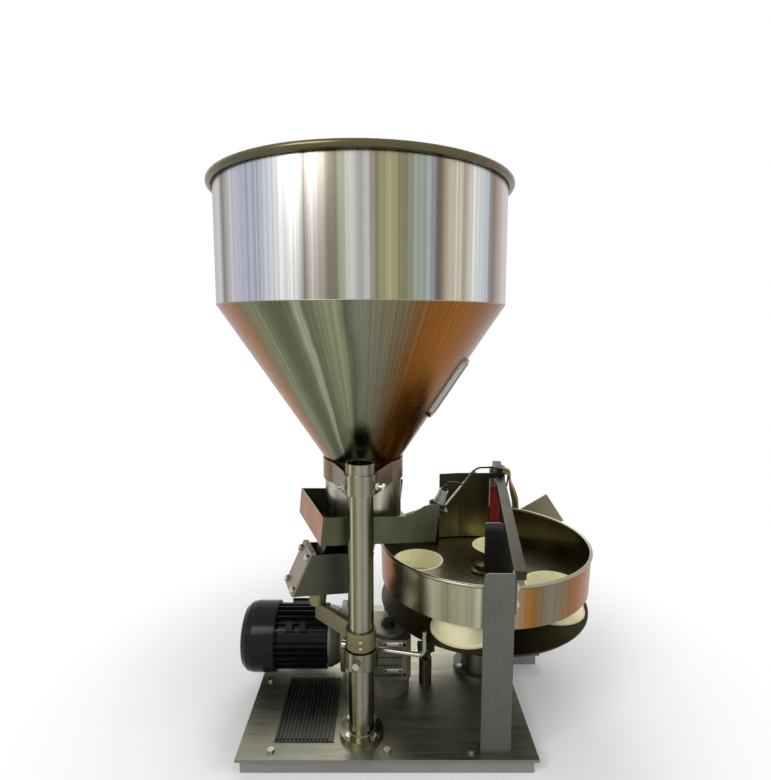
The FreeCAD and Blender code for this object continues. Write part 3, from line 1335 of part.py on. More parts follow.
def bridge_beam():
    """Channel that slopes up over the bowl, open below, with a strap down its front end."""
    frame, length = beam_frame()
    block = DOC.addObject("Part::Box", "beam_block")
    tie(block, "Length", "beam_width")
    tie(block, "Height", "beam_depth")
    block.Width = length
    moved(block, frame.multiply(FreeCAD.Placement(V(-size("beam_width / 2"), 0, 0),
                                                  FreeCAD.Rotation())))
    hollow = DOC.addObject("Part::Box", "beam_hollow")
    tie(hollow, "Length", "beam_width - 2 * beam_sheet")
    tie(hollow, "Height", "beam_depth")
    hollow.Width = length - size("2 * beam_sheet")
    moved(hollow, frame.multiply(FreeCAD.Placement(
        V(-size("beam_width / 2 - beam_sheet"), size("beam_sheet"), -size("beam_sheet")),
        FreeCAD.Rotation())))
    channel = cut("beam_channel", block, hollow)
    strap = DOC.addObject("Part::Box", "beam_strap")
    tie(strap, "Length", "beam_sheet + 1")
    tie(strap, "Width", "strap_width")
    strap.Height = 78
    strap.Placement = FreeCAD.Placement(
        V(size("front_post_right + 0.2"), size("front_post_y + 1"), size("front_post_top - 84")),
        FreeCAD.Rotation())
    return part(fuse("bridge_beam", [channel, strap]), "bridge_beam")


def bridge_bolts():
    """Bolts through the strap at the front, and down through the beam's rear end."""
    members = []
    for index, drop in enumerate((26, 60)):
        bolt = hex_bolt(f"strap_bolt_{index}", "1")
        spot = V(size("front_post_right + 0.2 + beam_sheet + 1 + 1.1"),
                 size("front_post_y + 1 + strap_width / 2"), size("front_post_top") - drop - 6)
        bolt.Placement = FreeCAD.Placement(spot, FreeCAD.Rotation(V(0, 0, 1), V(1, 0, 0)))
        members.append(bolt)
    return part(group("bridge_bolts", members), "bridge_bolts")


def baffle_plate():
    """Folded plate that stands over the back of the bowl's floor and hangs from the beam."""
    body = new_body("baffle_plate", 0, "baffle_y", "baffle_bottom")
    swing = "baffle_swing"
    plan = sketch(body, "baffle_plan")
    outline(plan, [
        ("baffle_left", f"-{swing}"), ("baffle_fold", "0"), ("baffle_right", "0"),
        ("baffle_right", "baffle_sheet"), ("baffle_fold - 0.3", "baffle_sheet"),
        ("baffle_left", f"baffle_sheet - {swing}")])
    pad(body, plan, "baffle_top - baffle_bottom", "baffle_sheet_pad")
    ear = sketch(body, "baffle_ear", lift="baffle_top - baffle_bottom - 16")
    across = beam_frame()[0].Rotation.multVec(V(1, 0, 0))
    reach = beam_point(size("baffle_y")).x - size("beam_width / 2") / across.x - 0.15
    tip = f"baffle_right + {reach - size('baffle_right'):.3f}"
    rectangle(ear, "baffle_right - 4", tip, "0", "baffle_sheet")
    pad(body, ear, "16", "baffle_ear_pad")
    return part(body, "baffle_plate")


def arc_wall(name, centre, radius, thickness, first, last, low, height):
    """A curved upright sheet between two angles."""
    def corner(r, angle):
        turn = math.radians(angle)
        return centre + V(r * math.cos(turn), r * math.sin(turn), low)

    middle = (first + last) / 2
    outer, inner = radius + thickness, radius
    edges = [
        Part.Arc(corner(outer, first), corner(outer, middle), corner(outer, last)).toShape(),
        Part.LineSegment(corner(outer, last), corner(inner, last)).toShape(),
        Part.Arc(corner(inner, last), corner(inner, middle), corner(inner, first)).toShape(),
        Part.LineSegment(corner(inner, first), corner(outer, first)).toShape()]
    face = Part.Face(Part.Wire(edges))
    return face.extrude(V(0, 0, height))


def under_beam(x, y):
    """Height of the beam's underside over a point, or None where the beam isn't over it."""
    frame = beam_frame()[0]
    local = frame.inverse().multVec(V(x, y, 0))
    if abs(local.x) > size("beam_width / 2 + 1"):
        return None
    return -local.z / frame.Rotation.multVec(V(0, 0, 1)).z


def scraper_wall(name, grow, low, height):
    """The scraper's curved plan, made thicker by grow on both faces."""
    centre = V(size("scraper_x"), size("scraper_y"), 0)
    return arc_wall(name, centre, size("scraper_arc") - grow, size("scraper_sheet") + 2 * grow,
                    size("scraper_from"), size("scraper_to"), low, height)


def scraper():
    """Curved levelling sheet at the bowl's middle, hung from the beam by its right end."""
    low = size("scraper_bottom + brush_height")
    first, last = size("scraper_from"), size("scraper_to")
    heights = []
    for radius in (size("scraper_arc"), size("scraper_arc + scraper_sheet")):
        for step in range(41):
            turn = math.radians(first + (last - first) * step / 40)
            heights.append(under_beam(size("scraper_x") + radius * math.cos(turn),
                                      size("scraper_y") + radius * math.sin(turn)))
    top = min(z for z in heights if z is not None) - 0.15
    item = DOC.addObject("Part::Feature", "scraper")
    item.Shape = scraper_wall("scraper", 0, low, top - low)
    return part(item, "scraper")


def scraper_brush():
    """Bristle strip along the scraper's lower edge."""
    item = DOC.addObject("Part::Feature", "scraper_brush")
    item.Shape = scraper_wall("brush", 1, size("scraper_bottom"), size("brush_height") - 0.05)
    return part(item, "scraper_brush")


def wiper_blade():
    """Red wiper that hangs from the beam behind the scraper."""
    seat = beam_point(size("wiper_y"))
    strip = box("wiper_strip", "wiper_width", "wiper_thickness", "10")
    strip.setExpression("Height", None)
    strip.Height = seat.z - 0.1 - size("wiper_bottom")
    moved(strip, FreeCAD.Placement(
        V(seat.x - size("wiper_width"), size("wiper_y"), size("wiper_bottom")),
        FreeCAD.Rotation()))
    return part(strip, "wiper_blade")


def side_shield():
    """Tilted guard sheet beyond the rear post, on a short arm."""
    corner = V(size("rear_post_x + rear_post_width"), size("guard_y"), size("bowl_rim"))
    corners = [corner + V(*p) for p in ((111.6, 0, 36), (163.5, 0, -42), (39, 0, -94),
                                        (4, 0, -29))]
    wire = Part.makePolygon(corners + [corners[0]])
    sheet = Part.Face(wire).extrude(V(0, 3, 0))
    arm = Part.makeBox(44, 4, 22, corner + V(-3, 3, -49))
    link = Part.makeBox(4, size("rear_post_y - bridge_sheet - guard_y") - 5.2, 22,
                        corner + V(-6, 5, -49))
    item = DOC.addObject("Part::Feature", "side_shield")
    item.Shape = sheet.fuse([arm, link])
    return part(item, "side_shield")


# Level sensor and its wiring


def sensor_frame(along=0):
    """The sensor's own frame: z from its sensing face to its cable end."""
    lean = FreeCAD.Rotation(V(0, 1, 0), size("sensor_lean"))
    base = V(size("sensor_x"), size("sensor_y"), size("sensor_z"))
    return FreeCAD.Placement(base + lean.multVec(V(0, 0, along)), lean)


def level_sensor():
    rod = cylinder("sensor_barrel", "sensor_radius - 1.5", "sensor_length - 22")
    moved(rod, sensor_frame(0))
    head = cylinder("sensor_cap", "sensor_radius - 3", "22.5")
    moved(head, sensor_frame(size("sensor_length - 22.5")))
    return part(fuse("level_sensor", [rod, head]), "level_sensor")


def sensor_nuts():
    members = []
    bottom = size("sensor_grip - sensor_nut_height")
    for index, start in enumerate((bottom, size("sensor_grip + sensor_plate"))):
        nut = hexagon(f"sensor_nut_{index}", "sensor_nut", "sensor_nut_height")
        hole = cylinder(f"sensor_nut_bore_{index}", "sensor_radius - 1.4", "sensor_nut_height")
        ring_nut = cut(f"sensor_nut_ring_{index}", nut, hole)
        moved(ring_nut, sensor_frame(start))
        members.append(ring_nut)
    return part(group("sensor_nuts", members), "sensor_nuts")


def sensor_bracket():
    """Plate around the sensor and the rod that carries it from the baffle."""
    plate = box("sensor_plate_blank", "46", "44", "sensor_plate")
    moved(plate, sensor_frame(size("sensor_grip")).multiply(
        FreeCAD.Placement(V(-20, -20, 0), FreeCAD.Rotation())))
    hole = cylinder("sensor_plate_hole", "sensor_radius - 1.4", "sensor_plate + 2")
    moved(hole, sensor_frame(size("sensor_grip - 1")))
    grip = sensor_frame(size("sensor_grip + sensor_plate / 2")).multVec(V(22, 20, 0))
    head = V(size("baffle_right - 46"), size("baffle_y - 6"), size("baffle_top + 8"))
    axis = head - grip
    rod = cylinder("sensor_rod", "rod_radius", "10")
    rod.setExpression("Height", None)
    rod.Height = axis.Length + 6
    start = grip - axis.normalize() * 6
    moved(rod, FreeCAD.Placement(start, FreeCAD.Rotation(V(0, 0, 1), head - grip)))
    hook = box("sensor_hook", "18", "12", "3")
    moved(hook, FreeCAD.Placement(V(head.x - 9, head.y - 4, size("baffle_top + 0.2")),
                                  FreeCAD.Rotation()))
    post_pin = box("sensor_hook_post", "8", "8", "8")
    moved(post_pin, FreeCAD.Placement(V(head.x - 4, head.y - 4, size("baffle_top + 2")),
                                      FreeCAD.Rotation()))
    solid = fuse("sensor_bracket_solid", [plate, rod, hook, post_pin])
    return part(cut("sensor_bracket", solid, hole), "sensor_bracket")


def rounded_route(points, share=0.45):
    """Straight runs joined by tangent arcs, each as large as its two runs allow."""
    edges = []
    start = points[0]
    radii = []
    for before, corner, after in zip(points, points[1:], points[2:]):
        to_before, to_after = before - corner, after - corner
        a, b = V(to_before).normalize(), V(to_after).normalize()
        half_turn = (math.pi - a.getAngle(b)) / 2
        reach = share * min(to_before.Length, to_after.Length)
        radii.append(reach / math.tan(half_turn))
        enter, leave = corner + a * reach, corner + b * reach
        bisector = (a + b).normalize()
        radius = reach / math.tan(half_turn)
        middle = corner + bisector * (radius / math.cos(half_turn) - radius)
        edges.append(Part.LineSegment(start, enter).toShape())
        edges.append(Part.Arc(enter, middle, leave).toShape())
        start = leave
    edges.append(Part.LineSegment(start, points[-1]).toShape())
    return Part.Wire(edges), radii


def tube_along(label, points, radius):
    """A round cable along a rounded route."""
    wire, radii = rounded_route([V(*p) for p in points])
    heading = (V(*points[1]) - V(*points[0])).normalize()
    profile = Part.Wire([Part.Circle(V(*points[0]), heading, radius).toShape()])
    solid = wire.makePipeShell([profile], True, False)
    item = DOC.addObject("Part::Feature", label)
    item.Shape = solid
    expected = math.pi * radius ** 2 * wire.Length
    print(label, "length", round(wire.Length, 1), "radii", [round(r, 1) for r in radii],
          "volume share", round(solid.Volume / expected, 4))
    return part(item, label)


def sensor_cable():
    """The sensor's cable: over the bridge and down behind the rear post to the deck."""
    tail = sensor_frame(size("sensor_length") + 0.1).Base
    lift = sensor_frame(size("sensor_length") + 20).Base
    points = [
        tuple(tail), tuple(lift), (228, 143, 489), (249, 168, 472), (262, 200, 478),
        (283, 235, 488), (304, 262, 494), (330, 281, 489), (358, 292, 488), (383, 302, 489),
        (400, 318, 464), (405, 340, 436), (405, 364, 402), (393, 367, 368),
        (386, 353.4, 330), (386, 353.2, 34.2)]
    return tube_along("sensor_cable", points, size("cable_radius"))


def bundle_start():
    """The saddle's frame on the bridge, where the wire bundle sets out."""
    frame, length = beam_frame()
    return frame.multiply(FreeCAD.Placement(
        V(0, 0.835 * length, size("beam_depth + bundle_radius") + 2.2), FreeCAD.Rotation()))


def wire_bundle():
    """Sheathed bundle of wires: off the saddle, over the edge and down to the deck."""
    start = bundle_start()
    points = [
        tuple(start.multVec(V(-16, 0, 0))), tuple(start.multVec(V(27, 0, 0))),
        (400, 304, 455), (420, 340, 404), (437, 356, 350), (438, 360, 34.2)]
    return tube_along("wire_bundle", points, size("bundle_radius"))


def cable_ties():
    """The saddle on the bridge and the straps that hold the cable on the rear post."""
    start = bundle_start()
    saddle = box("saddle_block", "14", "26", "2 * bundle_radius + 4")
    moved(saddle, start.multiply(FreeCAD.Placement(
        V(-7, -13, -size("bundle_radius") - 2.1), FreeCAD.Rotation())))
    hole = cylinder("saddle_hole", "bundle_radius + 0.15", "20")
    moved(hole, start.multiply(FreeCAD.Placement(
        V(-10, 0, 0), FreeCAD.Rotation(V(0, 0, 1), V(1, 0, 0)))))
    members = [cut("saddle", saddle, hole)]
    for index, z in enumerate((290, 150)):
        strap = box(f"tie_{index}", "12", "8", "5")
        moved(strap, FreeCAD.Placement(V(380, 350.1, z), FreeCAD.Rotation()))
        bore = cylinder(f"tie_hole_{index}", "cable_radius + 0.2", "7")
        moved(bore, FreeCAD.Placement(V(386, 353.2, z - 1), FreeCAD.Rotation()))
        members.append(cut(f"tie_ring_{index}", strap, bore))
    return part(group("cable_ties", members), "cable_ties")


def build():
    """Make every sub-part."""
    for make in (
            base_frame, deck_plate, ribbed_panel, deck_bolts, post, hopper_bracket,
            feeder_arm, support_collar, collar_screws, clamp_lever,
            hopper, outlet_sleeve, feeder_tray, tray_bracket, armature, drive_housing,
            housing_cover, cover_screws, magnet_core, magnet_coil, leaf_springs, spring_bolts,
            motor_housing, fan_cover, motor_fan, motor_shaft, motor_flange, terminal_box,
            gearbox, oil_plug, output_shaft, drive_belt, bearing_housing, spindle, bowl,
            bowl_hub, upper_cups, cup_carrier, lower_cups, bottom_plate, discharge_chute,
            adjuster_base, height_screw, front_post, rear_post, bridge_beam, bridge_bolts,
            baffle_plate, scraper, scraper_brush, wiper_blade, level_sensor, sensor_nuts,
            sensor_bracket, side_shield, sensor_cable, wire_bundle, cable_ties):
        make()
    pulley("drive_pulley", "gear_x", "gear_y", "drive_pulley_radius", "shaft_radius + 0.05")
    pulley("driven_pulley", "bowl_x", "bowl_y", "driven_pulley_radius", "spindle_radius + 0.05")


def check_and_write():
    """Stop on any failed object or shape, then write one file for each sub-part."""
    DOC.recompute()
    failed = [o.Name for o in DOC.Objects if "Invalid" in o.State or "Error" in o.State]
    if failed:
        raise RuntimeError("failed objects: " + ", ".join(failed))
    os.makedirs("parts", exist_ok=True)
    for item in PARTS:
        if item.Shape.isNull() or not item.Shape.isValid() or not item.Shape.Solids:
            raise RuntimeError("bad shape: " + item.Label)
    for item in PARTS:
        item.Shape.exportStep(os.path.join("parts", item.Label + ".step"))
    print(len(PARTS), "sub-parts written")


build()
check_and_write()
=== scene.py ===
"""Looks for the volumetric cup filler: finishes, small details, light and camera."""

import logging
import math
from dataclasses import dataclass, field
from enum import Enum

import bmesh
import bpy
from mathutils import Matrix, Vector


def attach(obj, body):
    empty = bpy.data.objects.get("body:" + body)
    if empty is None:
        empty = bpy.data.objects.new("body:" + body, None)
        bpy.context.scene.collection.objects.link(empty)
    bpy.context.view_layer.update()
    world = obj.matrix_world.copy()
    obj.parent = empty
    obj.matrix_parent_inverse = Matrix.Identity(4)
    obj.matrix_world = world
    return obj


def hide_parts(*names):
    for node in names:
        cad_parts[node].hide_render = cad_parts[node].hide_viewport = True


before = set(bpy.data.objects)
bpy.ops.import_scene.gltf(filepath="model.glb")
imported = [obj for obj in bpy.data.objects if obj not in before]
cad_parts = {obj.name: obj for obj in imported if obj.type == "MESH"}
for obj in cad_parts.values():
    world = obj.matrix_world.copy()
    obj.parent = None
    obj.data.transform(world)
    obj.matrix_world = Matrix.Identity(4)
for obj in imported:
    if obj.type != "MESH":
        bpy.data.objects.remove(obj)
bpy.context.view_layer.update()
LOG = logging.getLogger("cup_filler")

Colour = tuple[float, float, float]
Point = tuple[float, float, float]

POST_AXIS: Point = (0.0, -0.142, 0.0)
BOWL_AXIS: Point = (0.286, 0.076, 0.0)
TRAY_TURN = math.radians(20.3)
TRAY_TILT = math.radians(6.2)
TRAY_PIVOT: Point = (0.0, 0.0, 0.428)
SPOUT_RADIUS = 0.082
SPOUT_HEIGHT = 0.5896
CONE_RUN = 0.22
CONE_RISE = 0.3324
SENSOR_TIP: Point = (0.165, 0.128, 0.395)
SENSOR_LEAN = math.radians(21.8)


class Body(Enum):
    """The bodies that the scene's own pieces ride on."""

    MACHINE = "machine"


class Slot(Enum):
    """Slot labels that the scene's own pieces carry; nothing reads them, and each piece's material
    comes from its finish.
    """

    POLISHED = "polished"
    SATIN = "satin"
    AMBER = "amber_plastic"
    BLACK = "black_plastic"
    WIRE = "wire_green"


class Tree:
    """A short way to write one material's or group's nodes."""

    def __init__(self, tree: bpy.types.NodeTree) -> None:
        """Keep the tree.

        Args:
            tree: The node tree to fill.
        """
        self.tree = tree

    def node(self, kind: str, **sockets: object) -> bpy.types.Node:
        """Add a node and set or link its inputs.

        Args:
            kind: The node's type name without the ShaderNode prefix.
            sockets: Input names, with spaces as underscores, and values or output sockets.

        Returns:
            The new node.
        """
        made = self.tree.nodes.new("ShaderNode" + kind)
        for name, value in sockets.items():
            socket = made.inputs[name.replace("_", " ")]
            if isinstance(value, bpy.types.NodeSocket):
                self.tree.links.new(value, socket)
            else:
                socket.default_value = value
        return made

    def math(self, operation: str, first: object, second: object = 0.0,
             clamp: bool = False) -> bpy.types.NodeSocket:
        """Add a Math node.

        Args:
            operation: The node's operation.
            first: The first value or socket.
            second: The second value or socket.
            clamp: Whether the result is held between 0 and 1.

        Returns:
            The result's socket.
        """
        made = self.tree.nodes.new("ShaderNodeMath")
        made.operation = operation
        made.use_clamp = clamp
        for index, value in enumerate((first, second)):
            if isinstance(value, bpy.types.NodeSocket):
                self.tree.links.new(value, made.inputs[index])
            else:
                made.inputs[index].default_value = value
        return made.outputs[0]

    def mix(self, factor: object, first: object, second: object) -> bpy.types.NodeSocket:
        """Mix two colours.

        Args:
            factor: How much of the second shows.
            first: A colour or socket.
            second: A colour or socket.

        Returns:
            The mixed colour's socket.
        """
        made = self.tree.nodes.new("ShaderNodeMix")
        made.data_type = "RGBA"
        for index, value in ((0, factor), (6, first), (7, second)):
            socket = made.inputs[index]
            if isinstance(value, bpy.types.NodeSocket):
                self.tree.links.new(value, socket)
            elif isinstance(value, (int, float)):
                socket.default_value = value
            else:
                socket.default_value = (*value, 1.0)
        return made.outputs[2]

    def spread(self, value: object, low: float = 0.0, high: float = 1.0,
               out: tuple[float, float] = (0.0, 1.0),
               smooth: bool = False) -> bpy.types.NodeSocket:
        """Map a range of values to another.

        Args:
            value: The value or socket.
            low: Where the range starts.
            high: Where it ends.
            out: What the two ends become.
            smooth: Whether the ends are eased.

        Returns:
            The result's socket.
        """
        made = self.node("MapRange", Value=value, From_Min=low, From_Max=high,
                         To_Min=out[0], To_Max=out[1])
        if smooth:
            made.interpolation_type = "SMOOTHSTEP"
        return made.outputs["Result"]

    def ramp(self, factor: bpy.types.NodeSocket,
             stops: tuple[tuple[float, Colour], ...]) -> bpy.types.NodeSocket:
        """Colour ramp.

        Args:
            factor: The position on the ramp.
            stops: Positions and colours.

        Returns:
            The colour's socket.
        """
        made = self.node("ValToRGB", Fac=factor)
        elements = made.color_ramp.elements
        for index, (place, colour) in enumerate(stops):
            element = elements[index] if index < 2 else elements.new(place)
            element.position = place
            element.color = (*colour, 1.0)
        return made.outputs["Color"]


class Groups:
    """The effects that many finishes share, each built once."""

    made: dict[str, bpy.types.NodeTree] = {}

    @classmethod
    def start(cls, name: str, inputs: tuple[tuple[str, str, float], ...],
              outputs: tuple[tuple[str, str], ...]) -> tuple[Tree, bpy.types.Node, bpy.types.Node]:
        """Begin a group with its named sockets.

        Args:
            name: The group's name.
            inputs: Name, socket kind and default of each input.
            outputs: Name and socket kind of each output.

        Returns:
            The tree, its input node and its output node.
        """
        group = bpy.data.node_groups.new(name, "ShaderNodeTree")
        for label, kind, value in inputs:
            socket = group.interface.new_socket(label, in_out="INPUT", socket_type=kind)
            if kind == "NodeSocketFloat":
                socket.default_value = value
        for label, kind in outputs:
            group.interface.new_socket(label, in_out="OUTPUT", socket_type=kind)
        cls.made[name] = group
        return Tree(group), group.nodes.new("NodeGroupInput"), group.nodes.new("NodeGroupOutput")

    @classmethod
    def grain(cls) -> bpy.types.NodeTree:
        """Fine lines along one direction, with broad cloudy variation.

        Returns:
            The group, which puts out Lines, Clouds and Height.
        """
        if "grain_lines" in cls.made:
            return cls.made["grain_lines"]
        tree, start, end = cls.start(
            "grain_lines",
            (("Vector", "NodeSocketVector", 0.0), ("Scale", "NodeSocketFloat", 60.0),
             ("Cloud Scale", "NodeSocketFloat", 6.0)),
            (("Lines", "NodeSocketFloat"), ("Clouds", "NodeSocketFloat"),
             ("Height", "NodeSocketFloat")))
        fine = tree.node("TexNoise", Vector=start.outputs["Vector"], Scale=start.outputs["Scale"],
                         Detail=5.0, Roughness=0.65)
        wide = tree.node("TexNoise", Vector=start.outputs["Vector"],
                         Scale=start.outputs["Cloud Scale"], Detail=3.0, Roughness=0.5)
        lines = tree.spread(fine.outputs["Fac"], 0.3, 0.7)
        tree.tree.links.new(lines, end.inputs["Lines"])
        clouds = tree.spread(wide.outputs["Fac"], 0.32, 0.68)
        tree.tree.links.new(clouds, end.inputs["Clouds"])
        height = tree.math("ADD", tree.math("MULTIPLY", fine.outputs["Fac"], 0.7),
                           tree.math("MULTIPLY", wide.outputs["Fac"], 0.3))
        tree.tree.links.new(height, end.inputs["Height"])
        return cls.made["grain_lines"]

    @classmethod
    def grime(cls) -> bpy.types.NodeTree:
        """Small specks and smudges.

        Returns:
            The group, which puts out Smudge and Specks.
        """
        if "grime" in cls.made:
            return cls.made["grime"]
        tree, start, end = cls.start(
            "grime", (("Vector", "NodeSocketVector", 0.0), ("Scale", "NodeSocketFloat", 20.0)),
            (("Smudge", "NodeSocketFloat"), ("Specks", "NodeSocketFloat")))
        cloud = tree.node("TexNoise", Vector=start.outputs["Vector"], Scale=start.outputs["Scale"],
                          Detail=6.0, Roughness=0.6, Distortion=0.6)
        smudge = tree.spread(cloud.outputs["Fac"], 0.5, 0.75)
        tree.tree.links.new(smudge, end.inputs["Smudge"])
        cells = tree.node("TexVoronoi", Vector=start.outputs["Vector"],
                          Scale=tree.math("MULTIPLY", start.outputs["Scale"], 14.0))
        specks = tree.math("LESS_THAN", cells.outputs["Distance"], 0.12)
        tree.tree.links.new(specks, end.inputs["Specks"])
        return cls.made["grime"]


@dataclass(frozen=True)
class Finish:
    """A plain finish: two colours, a grain direction and its roughness."""

    name: str
    dark: Colour
    light: Colour
    metallic: float = 1.0
    rough: tuple[float, float] = (0.25, 0.45)
    stretch: Point = (1.0, 1.0, 1.0)
    turn: Point = (0.0, 0.0, 0.0)
    centre: Point = (0.0, 0.0, 0.0)
    grain: float = 60.0
    clouds: float = 6.0
    bump: float = 0.05
    coat: float = 0.0
    smudge: float = 0.25
    specular: float = 0.5
    glow: float = 0.0
    patch_axis: int = -1
    patch_from: float = 0.0
    patch_to: float = 1.0
    patch_tone: Colour = (0.0, 0.0, 0.0)

    def patch(self, tree: Tree, place: bpy.types.NodeSocket,
              base: bpy.types.NodeSocket) -> bpy.types.NodeSocket:
        """Blend to a second tone along one axis of the piece.

        Args:
            tree: The material's tree.
            place: Object coordinates, centred and turned on the piece.
            base: The colour so far.

        Returns:
            The colour's socket.
        """
        if self.patch_axis < 0:
            return base
        split = tree.node("SeparateXYZ", Vector=place)
        ease = tree.spread(split.outputs[self.patch_axis], self.patch_from, self.patch_to,
                           smooth=True)
        return tree.mix(ease, base, self.patch_tone)

    def colour(self, tree: Tree, place: bpy.types.NodeSocket,
               grain: bpy.types.Node) -> bpy.types.NodeSocket:
        """The base colour before smudges.

        Args:
            tree: The material's tree.
            place: Object coordinates, centred and turned on the piece; not used by this plain
                finish.
            grain: The grain group's node.

        Returns:
            The colour's socket.
        """
        share = tree.math("ADD", tree.math("MULTIPLY", grain.outputs["Clouds"], 0.6),
                          tree.math("MULTIPLY", grain.outputs["Lines"], 0.4), clamp=True)
        return tree.mix(share, self.dark, self.light)

    def build(self) -> bpy.types.Material:
        """Make the material once.

        Returns:
            The material.
        """
        label = self.name + "_look"
        known = bpy.data.materials.get(label)
        if known is not None:
            return known
        made = bpy.data.materials.new(label)
        made.use_nodes = True
        tree = Tree(made.node_tree)
        shader = made.node_tree.nodes["Principled BSDF"]
        spot = tree.node("TexCoord")
        centred = tree.node("Mapping", Vector=spot.outputs["Object"])
        centred.vector_type = "TEXTURE"
        centred.inputs["Location"].default_value = self.centre
        centred.inputs["Rotation"].default_value = self.turn
        drawn = tree.node("Mapping", Vector=centred.outputs["Vector"])
        drawn.inputs["Scale"].default_value = self.stretch
        grain = tree.node("Group")
        grain.node_tree = Groups.grain()
        made.node_tree.links.new(drawn.outputs["Vector"], grain.inputs["Vector"])
        grain.inputs["Scale"].default_value = self.grain
        grain.inputs["Cloud Scale"].default_value = self.clouds
        grime = tree.node("Group")
        grime.node_tree = Groups.grime()
        made.node_tree.links.new(spot.outputs["Object"], grime.inputs["Vector"])
        grime.inputs["Scale"].default_value = 9.0
        base = self.colour(tree, centred.outputs["Vector"], grain)
        dirty = tree.math("MULTIPLY", grime.outputs["Smudge"], self.smudge)
        shade = tuple(c * 0.55 for c in self.dark)
        base = self.patch(tree, centred.outputs["Vector"], base)
        coloured = tree.mix(dirty, base, shade)
        made.node_tree.links.new(coloured, shader.inputs["Base Color"])
        rough = tree.spread(grain.outputs["Lines"], out=self.rough)
        rougher = tree.math("ADD", rough, tree.math("MULTIPLY", dirty, 0.25))
        made.node_tree.links.new(rougher, shader.inputs["Roughness"])
        shader.inputs["Metallic"].default_value = self.metallic
        shader.inputs["Coat Weight"].default_value = self.coat
        shader.inputs["Specular IOR Level"].default_value = self.specular
        # Painted glow: the colour is also given out as emission, so the piece shines though it is
        # no lamp.
        if self.glow:
            made.node_tree.links.new(coloured, shader.inputs["Emission Color"])
            shader.inputs["Emission Strength"].default_value = self.glow
        bump = tree.node("Bump", Height=grain.outputs["Height"], Strength=self.bump,
                         Distance=0.0006)
        made.node_tree.links.new(bump.outputs["Normal"], shader.inputs["Normal"])
        return made


@dataclass(frozen=True)
class TurnedSteel(Finish):
    """Polished round steel with painted reflections: tall bands of reflected light and dark
    painted around its axis.
    """

    # The band ramps below are painted reflections: reflected light and dark fixed around the axis.
    reflection_bands: tuple[tuple[float, Colour], ...] = ()
    low_reflection_bands: tuple[tuple[float, Colour], ...] = ()
    low_below: float = -1.0
    rim_above: float = 99.0
    rim_colour: Colour = (0.1, 0.09, 0.06)
    inner_radius: float = 0.0
    inner_slope: float = 0.0
    # Painted shade inside the bowl: darker tones within the inner radius.
    inner_shade: Colour = (0.05, 0.045, 0.03)
    inner_shade_light: Colour = (0.10, 0.09, 0.06)
    outer_radius: float = 99.0
    outer_tone: Colour = (0.2, 0.12, 0.07)
    outer_light: Colour = (0.3, 0.2, 0.13)
    waver: float = 0.012
    streaks: float = 0.12
    streak_scale: float = 150.0

    def colour(self, tree: Tree, place: bpy.types.NodeSocket,
               grain: bpy.types.Node) -> bpy.types.NodeSocket:
        """Painted reflection bands around the axis, other painted reflection bands low down,
        painted shade inside, another tone far out and a flat tone on the rim, which on the bowl is
        a painted highlight.

        Args:
            tree: The material's tree.
            place: Object coordinates, centred on the axis.
            grain: The grain group's node.

        Returns:
            The colour's socket.
        """
        around = tree.node("TexGradient", Vector=place)
        around.gradient_type = "RADIAL"
        shaken = tree.math("ADD", around.outputs["Fac"], tree.math(
            "MULTIPLY", tree.math("SUBTRACT", grain.outputs["Clouds"], 0.5), self.waver))
        # Painted reflection: the ramp puts reflected light and dark stripes around the axis.
        tone = tree.ramp(shaken, self.reflection_bands)
        split = tree.node("SeparateXYZ", Vector=place)
        if self.low_reflection_bands:
            low = tree.ramp(shaken, self.low_reflection_bands)
            under = tree.math("LESS_THAN", split.outputs["Z"], self.low_below)
            tone = tree.mix(under, tone, low)
        thin = tree.node("TexNoise")
        thin.noise_dimensions = "1D"
        tree.tree.links.new(tree.math("MULTIPLY", around.outputs["Fac"], self.streak_scale),
                            thin.inputs["W"])
        thin.inputs["Scale"].default_value = 1.0
        thin.inputs["Detail"].default_value = 3.0
        thin.inputs["Roughness"].default_value = 0.7
        lit = tree.spread(thin.outputs["Fac"], 0.3, 0.7,
                          (1.0 - self.streaks, 1.0 + self.streaks))
        scaled = tree.node("VectorMath")
        scaled.operation = "SCALE"
        tree.tree.links.new(tone, scaled.inputs[0])
        tree.tree.links.new(lit, scaled.inputs["Scale"])
        tone = scaled.outputs["Vector"]
        reach = tree.math("SQRT", tree.math(
            "ADD", tree.math("POWER", split.outputs["X"], 2.0),
            tree.math("POWER", split.outputs["Y"], 2.0)))
        # Painted shade: inside the inner radius the tone gives way to the darker inner colours.
        if self.inner_radius:
            edge = tree.math("SUBTRACT", reach, tree.math(
                "MULTIPLY", split.outputs["Z"], self.inner_slope))
            inside = tree.math("LESS_THAN", edge, self.inner_radius)
            tone = tree.mix(inside, tone, tree.mix(
                grain.outputs["Clouds"], self.inner_shade, self.inner_shade_light))
        if self.outer_radius < 9.0:
            outside = tree.math("GREATER_THAN", reach, self.outer_radius)
            tone = tree.mix(outside, tone, tree.mix(
                grain.outputs["Lines"], self.outer_tone, self.outer_light))
        # A flat tone on the rim; on the bowl it is a painted highlight.
        rim = tree.math("GREATER_THAN", split.outputs["Z"], self.rim_above)
        return tree.mix(rim, tone, self.rim_colour)


def seen(red: int, green: int, blue: int) -> Colour:
    """A colour from screen values, as linear light.

    Args:
        red: 0 to 255.
        green: 0 to 255.
        blue: 0 to 255.

    Returns:
        The colour.
    """
    return tuple((value / 255.0) ** 2.2 for value in (red, green, blue))


def grey(value: float) -> Colour:
    """A plain grey of the given brightness."""
    return (value, value, value)
